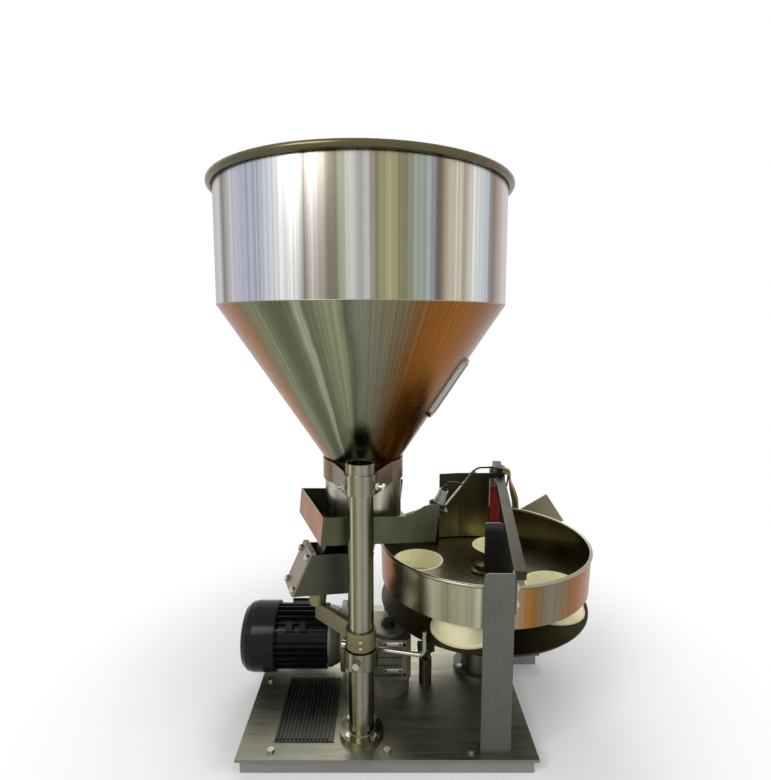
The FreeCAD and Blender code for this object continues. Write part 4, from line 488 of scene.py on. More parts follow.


# Painted reflections: the light and dark bands that each polished piece shows, placed around its
# axis.
DRUM_REFLECTION_BANDS = (
    (0.0, seen(120, 115, 110)), (0.06, seen(140, 132, 130)), (0.085, seen(190, 186, 186)),
    (0.098, seen(104, 94, 90)), (0.116, seen(188, 184, 188)), (0.14, seen(170, 172, 188)),
    (0.16, seen(164, 168, 178)), (0.178, seen(212, 212, 214)), (0.197, seen(208, 208, 206)),
    (0.202, seen(92, 84, 74)), (0.208, seen(182, 176, 170)), (0.221, seen(142, 134, 124)),
    (0.233, seen(102, 97, 82)), (0.242, seen(168, 168, 146)), (0.249, seen(196, 196, 194)),
    (0.259, seen(150, 148, 142)), (0.264, seen(198, 196, 192)), (0.272, seen(120, 116, 92)),
    (0.281, seen(164, 161, 124)), (0.29, seen(124, 121, 94)), (0.303, seen(154, 162, 150)),
    (0.316, seen(150, 156, 160)), (0.322, seen(84, 68, 58)), (0.332, seen(176, 162, 146)),
    (0.344, seen(200, 192, 176)), (0.356, seen(164, 154, 138)), (0.367, seen(214, 214, 206)),
    (0.39, seen(184, 192, 200)), (0.404, seen(116, 96, 86)), (0.43, seen(186, 170, 164)),
    (0.6, seen(150, 148, 140)), (1.0, seen(120, 115, 110)))
CONE_REFLECTION_BANDS = (
    (0.0, seen(112, 70, 30)), (0.05, seen(118, 72, 24)), (0.085, seen(136, 84, 30)),
    (0.112, seen(140, 90, 38)), (0.126, seen(112, 98, 66)), (0.146, seen(122, 126, 100)),
    (0.166, seen(88, 92, 72)), (0.184, seen(98, 102, 78)), (0.194, seen(164, 166, 142)),
    (0.199, seen(98, 100, 78)), (0.214, seen(122, 126, 100)), (0.232, seen(138, 142, 110)),
    (0.243, seen(92, 94, 76)), (0.256, seen(120, 122, 106)), (0.28, seen(118, 112, 92)),
    (0.3, seen(112, 92, 66)), (0.322, seen(128, 82, 36)), (0.36, seen(138, 86, 32)),
    (0.4, seen(130, 80, 32)), (0.45, seen(104, 70, 34)), (0.6, seen(120, 116, 96)),
    (0.8, seen(132, 124, 100)), (1.0, seen(112, 70, 30)))
TUBE_REFLECTION_BANDS = (
    (0.0, seen(96, 92, 78)), (0.07, seen(118, 114, 100)), (0.11, seen(186, 184, 168)),
    (0.14, seen(146, 144, 126)), (0.19, seen(186, 184, 170)), (0.225, seen(130, 128, 116)),
    (0.25, seen(172, 170, 156)), (0.29, seen(110, 106, 90)), (0.33, seen(192, 190, 176)),
    (0.37, seen(134, 132, 114)), (0.41, seen(100, 96, 78)), (0.46, seen(150, 146, 130)),
    (0.7, seen(130, 126, 110)), (1.0, seen(96, 92, 78)))
POST_REFLECTION_BANDS = (
    (0.0, seen(94, 91, 72)), (0.06, seen(102, 99, 78)), (0.115, seen(94, 91, 68)),
    (0.145, seen(184, 182, 154)), (0.163, seen(120, 118, 92)), (0.18, seen(100, 98, 74)),
    (0.205, seen(120, 118, 94)), (0.23, seen(148, 147, 122)), (0.255, seen(142, 140, 120)),
    (0.28, seen(120, 118, 104)), (0.31, seen(142, 140, 128)), (0.335, seen(128, 126, 112)),
    (0.36, seen(88, 86, 68)), (0.385, seen(94, 92, 72)), (0.41, seen(120, 118, 98)),
    (0.44, seen(78, 76, 56)), (0.47, seen(62, 60, 42)), (0.7, seen(114, 112, 92)),
    (1.0, seen(94, 91, 72)))
BOWL_REFLECTION_BANDS = (
    (0.0, seen(70, 60, 42)), (0.045, seen(146, 80, 22)), (0.07, seen(152, 88, 28)),
    (0.084, seen(96, 92, 66)), (0.1, seen(156, 154, 130)), (0.115, seen(150, 148, 120)),
    (0.133, seen(164, 162, 132)), (0.15, seen(188, 186, 160)), (0.17, seen(134, 132, 104)),
    (0.19, seen(158, 156, 128)), (0.206, seen(146, 144, 118)), (0.214, seen(190, 187, 162)),
    (0.222, seen(136, 133, 110)), (0.245, seen(112, 109, 90)), (0.262, seen(132, 124, 102)),
    (0.272, seen(146, 130, 104)), (0.284, seen(148, 98, 48)), (0.298, seen(116, 98, 68)),
    (0.314, seen(118, 116, 104)), (0.334, seen(122, 104, 80)), (0.355, seen(130, 86, 40)),
    (0.385, seen(146, 84, 28)), (0.42, seen(130, 76, 26)), (0.5, seen(104, 90, 62)),
    (0.7, seen(126, 118, 98)), (0.85, seen(108, 88, 60)), (1.0, seen(70, 60, 42)))


def toned(reflection_bands: tuple[tuple[float, Colour], ...],
          share: float) -> tuple[tuple[float, Colour], ...]:
    """The same painted reflection bands, darker or lighter.

    Args:
        reflection_bands: Places and colours.
        share: What each colour is multiplied by.

    Returns:
        The new bands.
    """
    return tuple((place, tuple(part * share for part in tone)) for place, tone in reflection_bands)


UPRIGHT: Point = (1.0, 1.0, 0.02)
FINISHES: dict[str, Finish] = {
    "hopper": TurnedSteel("hopper_steel", grey(0.12), grey(0.8), rough=(0.24, 0.3),
                          stretch=UPRIGHT, grain=70.0, bump=0.004, reflection_bands=DRUM_REFLECTION_BANDS,
                          low_reflection_bands=CONE_REFLECTION_BANDS, low_below=0.922, rim_above=1.1525,
                          rim_colour=seen(92, 86, 64), smudge=0.06, streaks=0.2,
                          streak_scale=230.0),
    "sleeve": TurnedSteel("sleeve_steel", grey(0.12), grey(0.8), rough=(0.2, 0.36),
                          stretch=UPRIGHT, grain=160.0, reflection_bands=TUBE_REFLECTION_BANDS, smudge=0.06),
    "post": TurnedSteel("post_steel", grey(0.15), grey(0.85), rough=(0.14, 0.3),
                        centre=POST_AXIS, stretch=UPRIGHT, grain=240.0, reflection_bands=POST_REFLECTION_BANDS,
                        smudge=0.08),
    "collar": TurnedSteel("collar_steel", grey(0.15), grey(0.7), rough=(0.24, 0.4),
                          centre=POST_AXIS, stretch=(0.1, 0.1, 1.0), grain=240.0,
                          reflection_bands=toned(POST_REFLECTION_BANDS, 0.8)),
    "bracket": TurnedSteel("bracket_steel", grey(0.15), grey(0.7), rough=(0.24, 0.4),
                           centre=POST_AXIS, stretch=(0.3, 0.3, 1.0), grain=180.0,
                           reflection_bands=POST_REFLECTION_BANDS, outer_radius=0.0345,
                           outer_tone=seen(92, 76, 58), outer_light=seen(126, 102, 78)),
    "bowl": TurnedSteel("bowl_steel", grey(0.12), grey(0.75), rough=(0.24, 0.32),
                        centre=BOWL_AXIS, stretch=(1.0, 1.0, 0.05), grain=70.0, clouds=4.0,
                        bump=0.008, smudge=0.05, reflection_bands=BOWL_REFLECTION_BANDS, rim_above=0.3638,
                        # Painted highlight: the lighter rim colour stands for the light line along
                        # the rim's top.
                        rim_colour=seen(150, 146, 124), inner_radius=0.2333,
                        # Painted shade inside the bowl.
                        inner_slope=0.0337, inner_shade=seen(66, 62, 43),
                        inner_shade_light=seen(100, 95, 70)),
    "satin": Finish("satin_steel", seen(118, 114, 98), seen(168, 164, 148), rough=(0.3, 0.5),
                    stretch=(1.0, 1.0, 0.04), grain=260.0, clouds=9.0),
    "arm": Finish("arm_steel", seen(98, 94, 66), seen(138, 133, 100), rough=(0.32, 0.5),
                  stretch=(0.2, 0.2, 1.0), grain=260.0, clouds=12.0),
    "post_sheet": Finish("folded_sheet", seen(80, 82, 76), seen(106, 108, 100),
                         rough=(0.36, 0.52), stretch=(1.0, 1.0, 0.05), grain=300.0, clouds=5.0),
    # Painted shade: the steel disc and carrier under the bowl are darkened for the bowl's shadow.
    "under": Finish("disc_painted_shade", seen(34, 27, 17), seen(74, 68, 48), rough=(0.34, 0.52),
                    grain=180.0, clouds=5.0),
    "olive": Finish("olive_steel", seen(62, 58, 44), seen(92, 87, 68), rough=(0.3, 0.48),
                    stretch=(1.0, 1.0, 0.06), grain=240.0, clouds=7.0),
    "beam": Finish("beam_steel", seen(50, 48, 40), seen(76, 73, 62), rough=(0.34, 0.5),
                   stretch=(1.0, 0.1, 1.0), grain=260.0, clouds=8.0),
    "baffle": Finish("baffle_steel", seen(136, 130, 86), seen(172, 166, 118), rough=(0.3, 0.44),
                     stretch=(1.0, 1.0, 0.08), grain=120.0, clouds=6.0, patch_axis=2,
                     patch_from=0.30, patch_to=0.40, patch_tone=seen(80, 76, 58)),
    "tray": Finish("tray_steel", seen(66, 68, 50), seen(92, 93, 72), metallic=0.75,
                   rough=(0.26, 0.42),
                   stretch=(1.0, 1.0, 0.1), turn=(0.0, TRAY_TILT, TRAY_TURN),
                   centre=TRAY_PIVOT, grain=220.0, clouds=16.0, patch_axis=0,
                   patch_from=-0.1252, patch_to=-0.1256, patch_tone=seen(150, 86, 36)),
    "housing": Finish("housing_steel", seen(72, 75, 64), seen(98, 99, 86), rough=(0.34, 0.5),
                      stretch=(1.0, 1.0, 0.1), turn=(0.0, TRAY_TILT, TRAY_TURN),
                      centre=TRAY_PIVOT, grain=260.0, clouds=9.0),
    "lid": Finish("lid_steel", seen(124, 114, 98), seen(152, 140, 124), rough=(0.3, 0.46),
                  stretch=(1.0, 0.05, 1.0), grain=240.0),
    "deck": Finish("deck_steel", seen(116, 114, 98), seen(150, 148, 132), rough=(0.3, 0.5),
                   stretch=(0.04, 1.0, 1.0), grain=220.0, clouds=7.0),
    "ribs": Finish("ribbed_steel", seen(64, 64, 60), seen(100, 100, 94), rough=(0.34, 0.52),
                   stretch=(1.0, 0.05, 1.0), grain=260.0, clouds=9.0),
    "base": Finish("base_paint", seen(120, 122, 120), seen(142, 144, 142), metallic=0.2,
                   rough=(0.4, 0.55), grain=400.0, bump=0.12),
    "zinc": Finish("zinc_bolt", seen(150, 148, 140), seen(206, 203, 195), rough=(0.22, 0.4),
                   grain=500.0),
    "yellow_zinc": Finish("yellow_zinc", seen(158, 126, 66), seen(226, 202, 138),
                          rough=(0.25, 0.4), grain=400.0),
    "shaft": Finish("ground_shaft", seen(120, 117, 104), seen(168, 165, 150), rough=(0.2, 0.34),
                    grain=500.0, stretch=(1.0, 1.0, 0.2)),
    "iron": Finish("machined_iron", seen(74, 74, 64), seen(116, 114, 102), rough=(0.32, 0.5),
                   grain=300.0),
    "core": Finish("laminated_core", grey(0.09), grey(0.26), metallic=0.8, rough=(0.4, 0.6),
                   stretch=(1.0, 12.0, 1.0), grain=60.0, bump=0.3),
    "coil": Finish("varnished_coil", (0.16, 0.045, 0.01), (0.42, 0.15, 0.03), metallic=0.5,
                   rough=(0.2, 0.35), stretch=(0.2, 0.2, 8.0), grain=90.0, bump=0.4, coat=0.6),
    "spring": Finish("spring_steel", seen(128, 120, 92), seen(196, 186, 150), rough=(0.3, 0.5),
                     stretch=(1.0, 1.0, 0.1), grain=300.0),
    "motor": Finish("motor_paint", (0.004, 0.0045, 0.0045), (0.009, 0.0098, 0.0095),
                    metallic=0.0, rough=(0.12, 0.24), grain=500.0, bump=0.06, coat=0.05,
                    smudge=0.1, specular=0.12),
    "cast": Finish("cast_aluminium", seen(86, 85, 72), seen(132, 130, 114), metallic=0.75,
                   rough=(0.38, 0.6), grain=700.0, clouds=18.0, bump=0.35),
    "pad": Finish("machined_pad", seen(176, 174, 166), seen(220, 218, 212), rough=(0.24, 0.4),
                  stretch=(0.1, 1.0, 1.0), grain=320.0),
    "black": Finish("black_plastic", grey(0.006), grey(0.016), metallic=0.0, rough=(0.35, 0.55),
                    grain=900.0, bump=0.2, specular=0.25),
    "rubber": Finish("belt_rubber", grey(0.010), grey(0.026), metallic=0.0, rough=(0.6, 0.8),
                     grain=800.0, bump=0.3, specular=0.3),
    # Painted glow: both cup finishes shine, and the upper cups shine more for their bright
    # interiors.
    "cream": Finish("cream_cup", seen(206, 200, 156), seen(236, 231, 190), metallic=0.0,
                    rough=(0.26, 0.42), grain=60.0, clouds=8.0, bump=0.05, coat=0.1,
                    smudge=0.1, glow=0.1),
    "cream_painted_glow": Finish("cream_cup_painted_glow", seen(212, 207, 160), seen(240, 236, 194),
                           metallic=0.0, rough=(0.22, 0.36), grain=60.0, clouds=8.0,
                           bump=0.05, coat=0.1, smudge=0.08, glow=0.28),
    "knurled": Finish("knurled_pillar", seen(64, 60, 45), seen(108, 102, 80), rough=(0.3, 0.45),
                      stretch=(1.0, 1.0, 0.08), grain=900.0, bump=0.6),
    "hub": Finish("hub_steel", seen(60, 56, 38), seen(92, 87, 62), rough=(0.3, 0.42),
                  grain=90.0, bump=0.02),
    "oxide": Finish("black_oxide", grey(0.02), grey(0.07), metallic=0.8, rough=(0.3, 0.5),
                    grain=500.0),
    "red": Finish("red_wiper", seen(88, 18, 20), seen(142, 40, 36), metallic=0.0,
                  rough=(0.35, 0.55), stretch=(1.0, 1.0, 0.05), grain=300.0, bump=0.15,
                  specular=0.3),
    "amber": Finish("amber_barrel", seen(170, 112, 34), seen(216, 152, 56), metallic=0.35,
                    rough=(0.2, 0.32), stretch=(1.0, 1.0, 6.0), grain=60.0, coat=0.3,
                    turn=(0.0, SENSOR_LEAN, 0.0), centre=SENSOR_TIP,
                    patch_axis=2, patch_from=0.0495, patch_to=0.0505,
                    patch_tone=seen(188, 192, 186)),
    "tan": Finish("tan_sheet", seen(108, 99, 79), seen(142, 131, 107), metallic=0.4,
                  rough=(0.35, 0.5), grain=200.0),
    # Painted shade: the steel scraper is darkened for the shadow it stands in, with a painted
    # highlight along its rounded top edge.
    "shaded_scraper": Finish("scraper_painted_shade", seen(52, 49, 51), seen(86, 83, 86),
                        rough=(0.32, 0.48), stretch=(1.0, 1.0, 0.05), grain=260.0,
                        patch_axis=2, patch_from=0.398, patch_to=0.42,
                        patch_tone=seen(122, 119, 122)),
    "bristle": Finish("bristles", (0.03, 0.027, 0.022), (0.12, 0.11, 0.09), metallic=0.0,
                      rough=(0.6, 0.85), stretch=(1.0, 1.0, 0.02), grain=900.0, bump=0.8),
    "wire_green": Finish("wire_green", seen(14, 84, 52), seen(36, 132, 88), metallic=0.0,
                         rough=(0.3, 0.45), grain=300.0),
    "wire_yellow": Finish("wire_yellow", seen(176, 146, 30), seen(222, 194, 66), metallic=0.0,
                          rough=(0.3, 0.45), grain=300.0),
    "wire_orange": Finish("wire_orange", seen(176, 84, 26), seen(214, 122, 44), metallic=0.0,
                          rough=(0.3, 0.45), grain=300.0),
    "wire_white": Finish("wire_white", seen(190, 188, 178), seen(226, 224, 216), metallic=0.0,
                         rough=(0.3, 0.45), grain=300.0),
    "cable": Finish("black_cable", grey(0.008), grey(0.022), metallic=0.0, rough=(0.3, 0.5),
                    grain=600.0, bump=0.1, specular=0.3),
    "glass": Finish("sight_glass", seen(70, 62, 46), seen(118, 108, 84), metallic=0.2,
                    rough=(0.06, 0.12), grain=40.0, bump=0.01, coat=0.4),
}

DRESS: dict[str, str] = {
    "base_frame": "base", "deck_plate": "deck", "ribbed_panel": "ribs", "deck_bolts": "zinc",
    "post": "post", "hopper_bracket": "bracket", "feeder_arm": "arm", "support_collar": "collar",
    "collar_screws": "zinc", "clamp_lever": "shaft", "hopper": "hopper", "outlet_sleeve": "sleeve",
    "feeder_tray": "tray", "tray_bracket": "olive", "armature": "iron", "drive_housing": "housing",
    "housing_cover": "lid", "cover_screws": "zinc", "magnet_core": "core", "magnet_coil": "coil",
    "leaf_springs": "spring", "spring_bolts": "yellow_zinc", "motor_housing": "motor",
    "fan_cover": "motor", "motor_fan": "black", "motor_shaft": "shaft", "motor_flange": "cast",
    "terminal_box": "motor", "gearbox": "cast", "oil_plug": "black", "output_shaft": "shaft",
    "drive_pulley": "iron", "driven_pulley": "iron", "drive_belt": "rubber",
    "bearing_housing": "iron", "spindle": "hub", "bowl": "bowl", "bowl_hub": "hub",
    "upper_cups": "cream_painted_glow", "cup_carrier": "under", "lower_cups": "cream",
    "bottom_plate": "under",
    "discharge_chute": "satin", "adjuster_base": "knurled", "height_screw": "oxide",
    "front_post": "post_sheet", "rear_post": "post_sheet", "bridge_beam": "beam",
    "bridge_bolts": "zinc", "baffle_plate": "baffle", "scraper": "shaded_scraper",
    "scraper_brush": "bristle",
    "wiper_blade": "red", "level_sensor": "amber", "sensor_nuts": "black",
    "sensor_bracket": "satin", "sensor_cable": "cable", "wire_bundle": "wire_green",
    "side_shield": "tan", "cable_ties": "black",
}


@dataclass
class Piece:
    """One extra piece made from a bmesh."""

    name: str
    finish: str
    body: Body
    slot: Slot
    bm: bmesh.types.BMesh = field(default_factory=bmesh.new)

    def ring(self, centre: Point, radius: float, thick: float,
             axis: Vector = Vector((0, 0, 1)), segments: int = 72) -> None:
        """A round bead around an axis.

        Args:
            centre: The ring's middle.
            radius: The radius to the bead's middle.
            thick: The bead's own radius.
            axis: The direction that it goes round.
            segments: Steps of the turn.
        """
        old = set(self.bm.verts)
        made = bmesh.ops.create_circle(self.bm, cap_ends=False, radius=thick, segments=8)
        verts = made["verts"]
        turn = Matrix.Rotation(math.radians(90), 4, "X")
        bmesh.ops.transform(self.bm, matrix=turn, verts=verts)
        bmesh.ops.translate(self.bm, vec=(radius, 0, 0), verts=verts)
        edges = list({e for v in verts for e in v.link_edges})
        bmesh.ops.spin(self.bm, geom=edges, cent=(0, 0, 0), axis=(0, 0, 1),
                       angle=math.tau, steps=segments, use_merge=True)
        fresh = [vert for vert in self.bm.verts if vert not in old]
        aim = axis.to_track_quat("Z", "Y").to_matrix().to_4x4()
        bmesh.ops.transform(self.bm, matrix=Matrix.Translation(centre) @ aim, verts=fresh)

    def rod(self, start: Point, end: Point, radius: float, sides: int = 24,
            bevel: float = 0.0) -> None:
        """A round or many-sided rod between two points.

        Args:
            start: One end.
            end: The other end.
            radius: Its radius.
            sides: How many sides it has.
            bevel: How far its end edges are rounded.
        """
        line = Vector(end) - Vector(start)
        made = bmesh.ops.create_cone(self.bm, cap_ends=True, segments=sides, radius1=radius,
                                     radius2=radius, depth=line.length)
        aim = line.to_track_quat("Z", "Y").to_matrix().to_4x4()
        place = Matrix.Translation((Vector(start) + Vector(end)) / 2) @ aim
        bmesh.ops.transform(self.bm, matrix=place, verts=made["verts"])
        if bevel > 0:
            faces = {f for v in made["verts"] for f in v.link_faces if len(f.verts) == sides}
            edges = list({e for f in faces for e in f.edges})
            bmesh.ops.bevel(self.bm, geom=edges, offset=bevel, segments=2, profile=0.5,
                            affect="EDGES", material=-1)

    def finish_piece(self, angle: float = 35.0) -> bpy.types.Object:
        """Turn the bmesh into an object that rides on its body.

        Args:
            angle: Edges sharper than this stay sharp.

        Returns:
            The new object.
        """
        bmesh.ops.recalc_face_normals(self.bm, faces=self.bm.faces)
        for face in self.bm.faces:
            face.smooth = True
        for edge in self.bm.edges:
            if len(edge.link_faces) == 2 and edge.calc_face_angle() > math.radians(angle):
                edge.smooth = False
        mesh = bpy.data.meshes.new(self.name)
        self.bm.to_mesh(mesh)
        self.bm.free()
        made = bpy.data.objects.new(self.name, mesh)
        bpy.context.scene.collection.objects.link(made)
        mesh.materials.append(FINISHES[self.finish].build())
        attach(made, self.body.value)
        LOG.info("made %s", self.name)
        return made


def dress_frame() -> None:
    """Give each carried-over node its finish."""
    for name, finish in DRESS.items():
        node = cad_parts[name]
        material = FINISHES[finish].build()
        for place in node.material_slots:
            place.link = "OBJECT"
            place.material = material
        LOG.info("dressed %s", name)


@dataclass
class HopperDetails:
    """Weld seams of the hopper, of its bracket and of the post's foot."""

    corner_radius: float = 0.302
    corner_height: float = 0.922
    bracket_height: float = 0.592
    foot_height: float = 0.0442

    def build(self) -> None:
        """Make the seams."""
        seam = Piece("hopper_seams", "satin", Body.MACHINE, Slot.POLISHED)
        seam.ring((0, 0, self.corner_height), self.corner_radius - 0.0002, 0.0009, segments=96)
        seam.ring((0, 0, SPOUT_HEIGHT), SPOUT_RADIUS + 0.0002, 0.0011)
        seam.finish_piece()
        weld = Piece("bracket_welds", "bracket", Body.MACHINE, Slot.SATIN)
        weld.ring((*POST_AXIS[:2], self.bracket_height), 0.0292, 0.0013)
        weld.finish_piece()
        foot = Piece("post_foot_weld", "satin", Body.MACHINE, Slot.POLISHED)
        foot.ring((*POST_AXIS[:2], self.foot_height), 0.0264, 0.0018)
        foot.finish_piece()


@dataclass
class SightWindow:
    """Oval glass in a raised frame on the cone's right side."""

    low: float = 0.691
    high: float = 0.815
    azimuth: float = math.radians(-21.0)
    width: float = 0.044
    rise: float = 0.007

    def frame_matrix(self) -> Matrix:
        """The window's own frame: x across, y up the cone, z outward.

        Returns:
            The matrix.
        """
        middle = (self.low + self.high) / 2
        radius = SPOUT_RADIUS + (middle - SPOUT_HEIGHT) * CONE_RUN / CONE_RISE
        out = Vector((math.cos(self.azimuth), math.sin(self.azimuth), 0.0))
        up = (out * CONE_RUN + Vector((0, 0, CONE_RISE))).normalized()
        across = Vector((-out.y, out.x, 0.0))
        facing = across.cross(up)
        turn = Matrix((across, up, facing)).transposed().to_4x4()
        return Matrix.Translation(out * radius + Vector((0, 0, middle))) @ turn

    def oval(self, length: float, width: float, height: float) -> list[Vector]:
        """Points of a straight-sided oval at one height.

        Args:
            length: Its whole length.
            width: Its whole width.
            height: Its z.

        Returns:
            The points in order.
        """
        points = []
        for side in (1, -1):
            for step in range(13):
                angle = math.pi * step / 12 + (0 if side > 0 else math.pi)
                points.append(Vector((math.cos(angle) * width / 2,
                                      math.sin(angle) * width / 2
                                      + side * (length - width) / 2, height)))
        return points

    def build(self) -> None:
        """Make the frame and the glass."""
        length = (self.high - self.low) / math.cos(math.atan2(CONE_RUN, CONE_RISE))
        rings = ((length, self.width, -0.0008), (length, self.width, self.rise - 0.001),
                 (length - 0.002, self.width - 0.002, self.rise),
                 (length - 0.014, self.width - 0.014, self.rise),
                 (length - 0.016, self.width - 0.016, self.rise - 0.001),
                 (length - 0.016, self.width - 0.016, -0.0008))
        edge = Piece("window_frame", "zinc", Body.MACHINE, Slot.POLISHED)
        loops = [[edge.bm.verts.new(p) for p in self.oval(*r)] for r in rings]
        for first, second in zip(loops, loops[1:] + loops[:1]):
            for index in range(len(first)):
                after = (index + 1) % len(first)
                edge.bm.faces.new((first[index], first[after], second[after], second[index]))
        bmesh.ops.transform(edge.bm, matrix=self.frame_matrix(), verts=edge.bm.verts)
        edge.finish_piece()
        pane = Piece("window_glass", "glass", Body.MACHINE, Slot.POLISHED)
        levels = [[pane.bm.verts.new(p) for p in self.oval(
            length - 0.0164, self.width - 0.0164, z)] for z in (-0.0006, self.rise - 0.003)]
        pane.bm.faces.new(levels[0][::-1])
        pane.bm.faces.new(levels[1])
        for index in range(len(levels[0])):
            after = (index + 1) % len(levels[0])
            pane.bm.faces.new((levels[0][index], levels[0][after],
                               levels[1][after], levels[1][index]))
        bmesh.ops.transform(pane.bm, matrix=self.frame_matrix(), verts=pane.bm.verts)
        pane.finish_piece()


@dataclass
class SensorDetails:
    """Threads, sensing face and cable gland of the level sensor."""

    tip: Point = SENSOR_TIP
    lean: float = SENSOR_LEAN
    radius: float = 0.0135
    pitch: float = 0.0015

    def build(self) -> None:
        """Make the threads, the face and the gland."""
        axis = Vector((math.sin(self.lean), 0, math.cos(self.lean)))
        thread = Piece("sensor_threads", "amber", Body.MACHINE, Slot.AMBER)
        for index in range(8, 34):
            place = Vector(self.tip) + axis * (self.pitch * index)
            if not 0.0285 < self.pitch * index < 0.0495:
                thread.ring(tuple(place), self.radius, 0.0005, axis, 28)
        thread.finish_piece()
        face = Piece("sensor_face", "black", Body.MACHINE, Slot.BLACK)
        face.rod(tuple(Vector(self.tip) - axis * 0.0006), tuple(Vector(self.tip) + axis * 0.0004),
                 self.radius - 0.0015, 32)
        face.finish_piece()
        gland = Piece("sensor_gland", "black", Body.MACHINE, Slot.BLACK)
        top = Vector(self.tip) + axis * 0.084
        gland.rod(tuple(top), tuple(top + axis * 0.005), 0.0085, 24, 0.0008)
        gland.rod(tuple(top + axis * 0.005), tuple(top + axis * 0.013), 0.0048, 20, 0.0006)
        gland.finish_piece()


@dataclass
class GearPads:
    """Bright machined pads with bolt holes on the gearbox's front."""

    left: float = 0.0445
    right: float = 0.0885
    face: float = -0.040
    heights: tuple[float, ...] = (0.1025, 0.1665)
    tall: float = 0.0095

    def build(self) -> None:
        """Make the pads and the dark holes in them."""
        pads = Piece("gearbox_pads", "pad", Body.MACHINE, Slot.POLISHED)
        holes = Piece("gearbox_holes", "black", Body.MACHINE, Slot.BLACK)
        middle = (self.left + self.right) / 2
        for height in self.heights:
            made = bmesh.ops.create_cube(pads.bm, size=1.0)
            size = Matrix.Diagonal((self.right - self.left, 0.0016, self.tall, 1.0))
            place = Matrix.Translation((middle, self.face, height))
            bmesh.ops.transform(pads.bm, matrix=place @ size, verts=made["verts"])
            edges = list({e for v in made["verts"] for e in v.link_edges})
            bmesh.ops.bevel(pads.bm, geom=edges, offset=0.0005, segments=2, profile=0.5,
                            affect="EDGES", material=-1)
            for x in (self.left + 0.0055, self.right - 0.0055):
                holes.rod((x, self.face - 0.0002, height), (x, self.face - 0.0010, height),
                          0.0029, 20)
        pads.finish_piece()
        holes.finish_piece()


@dataclass
class Wires:
    """The loose bundle of separate wires behind the bridge."""

    route: tuple[Point, ...] = ()
    spread: float = 0.0072
    thick: float = 0.0029
    around: int = 6
    twist: float = 0.55

    def build(self) -> None:
        """Make each wire as its own curve in place of the bundle's tube."""
        colours = ("wire_green", "wire_yellow", "wire_green", "wire_orange", "wire_green",
                   "wire_white", "cable")
        for index, finish in enumerate(colours):
            curve = bpy.data.curves.new(f"wire_{index}", "CURVE")
            curve.dimensions = "3D"
            curve.bevel_depth = self.thick
            curve.bevel_resolution = 3
            spline = curve.splines.new("NURBS")
            spline.points.add(len(self.route) - 1)
            for step, place in enumerate(self.route):
                angle = index * math.tau / self.around + step * self.twist
                reach = 0.0 if index == self.around else self.spread
                offset = Vector((0.0, math.cos(angle), math.sin(angle))) * reach
                if step > 2:
                    offset = Vector((math.cos(angle), math.sin(angle), 0.0)) * reach
                spline.points[step].co = (*(Vector(place) + offset), 1.0)
            spline.order_u = 3
            spline.use_endpoint_u = True
            item = bpy.data.objects.new(f"wire_{index}", curve)
            bpy.context.scene.collection.objects.link(item)
            curve.materials.append(FINISHES[finish].build())
            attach(item, Body.MACHINE.value)
        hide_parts("wire_bundle")


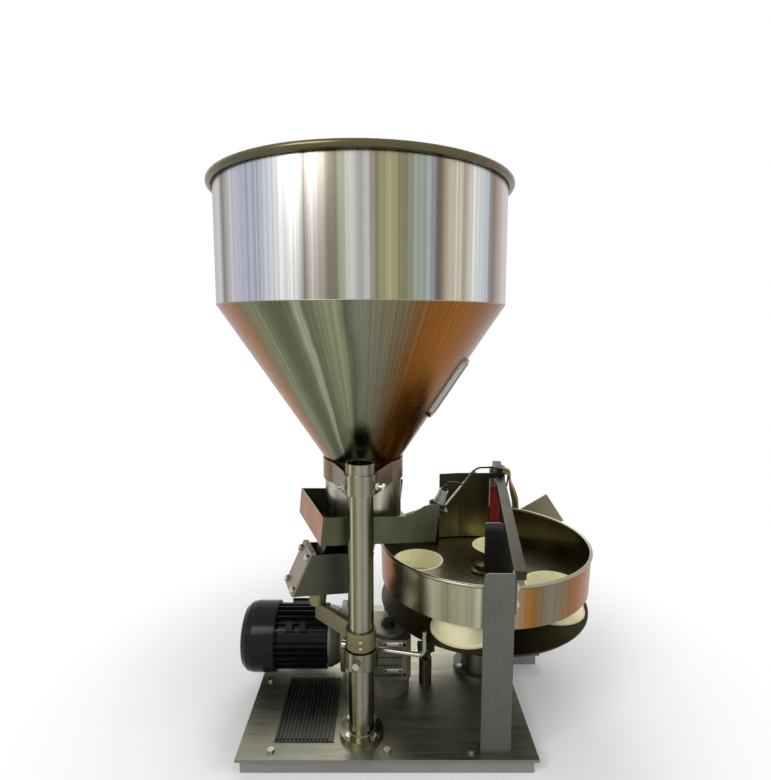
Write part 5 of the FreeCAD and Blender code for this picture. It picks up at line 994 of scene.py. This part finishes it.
@dataclass
class Studio:
    """Floor, lamps, world and camera."""

    camera_spot: Point = (0.050, -1.172, 0.880)
    camera_pitch: float = math.radians(6.82)
    lens: float = 25.0
    soft_light: float = 0.55

    def floor(self) -> None:
        """A wide pale floor that stays white to the camera and keeps the shadow."""
        bm = bmesh.new()
        bmesh.ops.create_grid(bm, x_segments=1, y_segments=1, size=8.0)
        mesh = bpy.data.meshes.new("floor")
        bm.to_mesh(mesh)
        bm.free()
        item = bpy.data.objects.new("floor", mesh)
        item.location = (0, 0, -0.001)
        bpy.context.scene.collection.objects.link(item)
        made = bpy.data.materials.new("pale_floor")
        made.use_nodes = True
        tree = Tree(made.node_tree)
        shader = made.node_tree.nodes["Principled BSDF"]
        spot = tree.node("TexCoord")
        split = tree.node("SeparateXYZ", Vector=spot.outputs["Object"])
        away = tree.math("SQRT", tree.math(
            "ADD", tree.math("POWER", tree.math("SUBTRACT", split.outputs["X"], 0.12), 2.0),
            tree.math("POWER", tree.math("SUBTRACT", split.outputs["Y"], 0.08), 2.0)))
        far = tree.spread(away, 0.45, 0.95, smooth=True)
        rays = tree.node("LightPath")
        glow = tree.math("MULTIPLY", far, tree.math(
            "MAXIMUM", rays.outputs["Is Camera Ray"], rays.outputs["Is Glossy Ray"]))
        base = tree.mix(glow, (0.92, 0.92, 0.92), (0.0, 0.0, 0.0))
        made.node_tree.links.new(base, shader.inputs["Base Color"])
        shader.inputs["Roughness"].default_value = 0.8
        shader.inputs["Specular IOR Level"].default_value = 0.0
        shader.inputs["Emission Color"].default_value = (1.0, 1.0, 1.0, 1.0)
        made.node_tree.links.new(glow, shader.inputs["Emission Strength"])
        mesh.materials.append(made)

    def world(self) -> None:
        """White to the camera and to reflections, and soft grey light on the object."""
        world = bpy.data.worlds.new("studio")
        bpy.context.scene.world = world
        world.use_nodes = True
        tree = Tree(world.node_tree)
        back = world.node_tree.nodes["Background"]
        rays = tree.node("LightPath")
        shown = tree.math("MAXIMUM", rays.outputs["Is Camera Ray"],
                          rays.outputs["Is Transmission Ray"])
        shown = tree.math("MAXIMUM", shown, rays.outputs["Is Glossy Ray"])
        power = tree.spread(shown, out=(self.soft_light, 1.0))
        world.node_tree.links.new(power, back.inputs["Strength"])
        back.inputs["Color"].default_value = (1, 1, 1, 1)

    def lamp(self, name: str, spot: Point, aim: Point, size: float, power: float,
             mirrored: bool = True) -> None:
        """A square soft lamp.

        Args:
            name: The lamp's name.
            spot: Where it stands.
            aim: What it points at.
            size: Its side.
            power: Its power in watts.
            mirrored: Whether glossy surfaces show it.
        """
        light = bpy.data.lights.new(name, "AREA")
        light.size = size
        light.energy = power
        item = bpy.data.objects.new(name, light)
        item.visible_glossy = mirrored
        item.location = spot
        item.rotation_euler = (Vector(aim) - Vector(spot)).to_track_quat("-Z", "Y").to_euler()
        bpy.context.scene.collection.objects.link(item)

    def camera(self) -> None:
        """The photograph's own view."""
        lens = bpy.data.cameras.new("view")
        lens.lens = self.lens
        lens.sensor_width = 36.0
        lens.sensor_fit = "HORIZONTAL"
        item = bpy.data.objects.new("view", lens)
        item.location = self.camera_spot
        item.rotation_euler = (math.radians(90) - self.camera_pitch, 0, 0)
        bpy.context.scene.collection.objects.link(item)
        bpy.context.scene.camera = item

    def build(self) -> None:
        """Set everything up."""
        self.floor()
        self.world()
        self.lamp("key", (-1.3, -1.9, 2.3), (0.05, 0, 0.5), 1.3, 32)
        self.lamp("side", (2.2, -0.9, 1.3), (0.1, 0, 0.5), 1.0, 16, False)
        self.lamp("back", (0.2, 2.3, 2.2), (0.1, 0, 0.5), 1.4, 22)
        self.camera()
        bpy.context.scene.view_settings.view_transform = "Standard"


BUNDLE_ROUTE: tuple[Point, ...] = (
    (0.3466, 0.2628, 0.4882), (0.3893, 0.2579, 0.4882), (0.400, 0.304, 0.455),
    (0.420, 0.340, 0.404), (0.437, 0.356, 0.350), (0.438, 0.360, 0.0342))


def main() -> None:
    """Build the scene in order."""
    logging.basicConfig(level=logging.INFO, format="%(message)s")
    Studio().build()
    dress_frame()
    HopperDetails().build()
    SightWindow().build()
    SensorDetails().build()
    GearPads().build()
    Wires(route=BUNDLE_ROUTE).build()


if __name__ == "__main__":
    main()
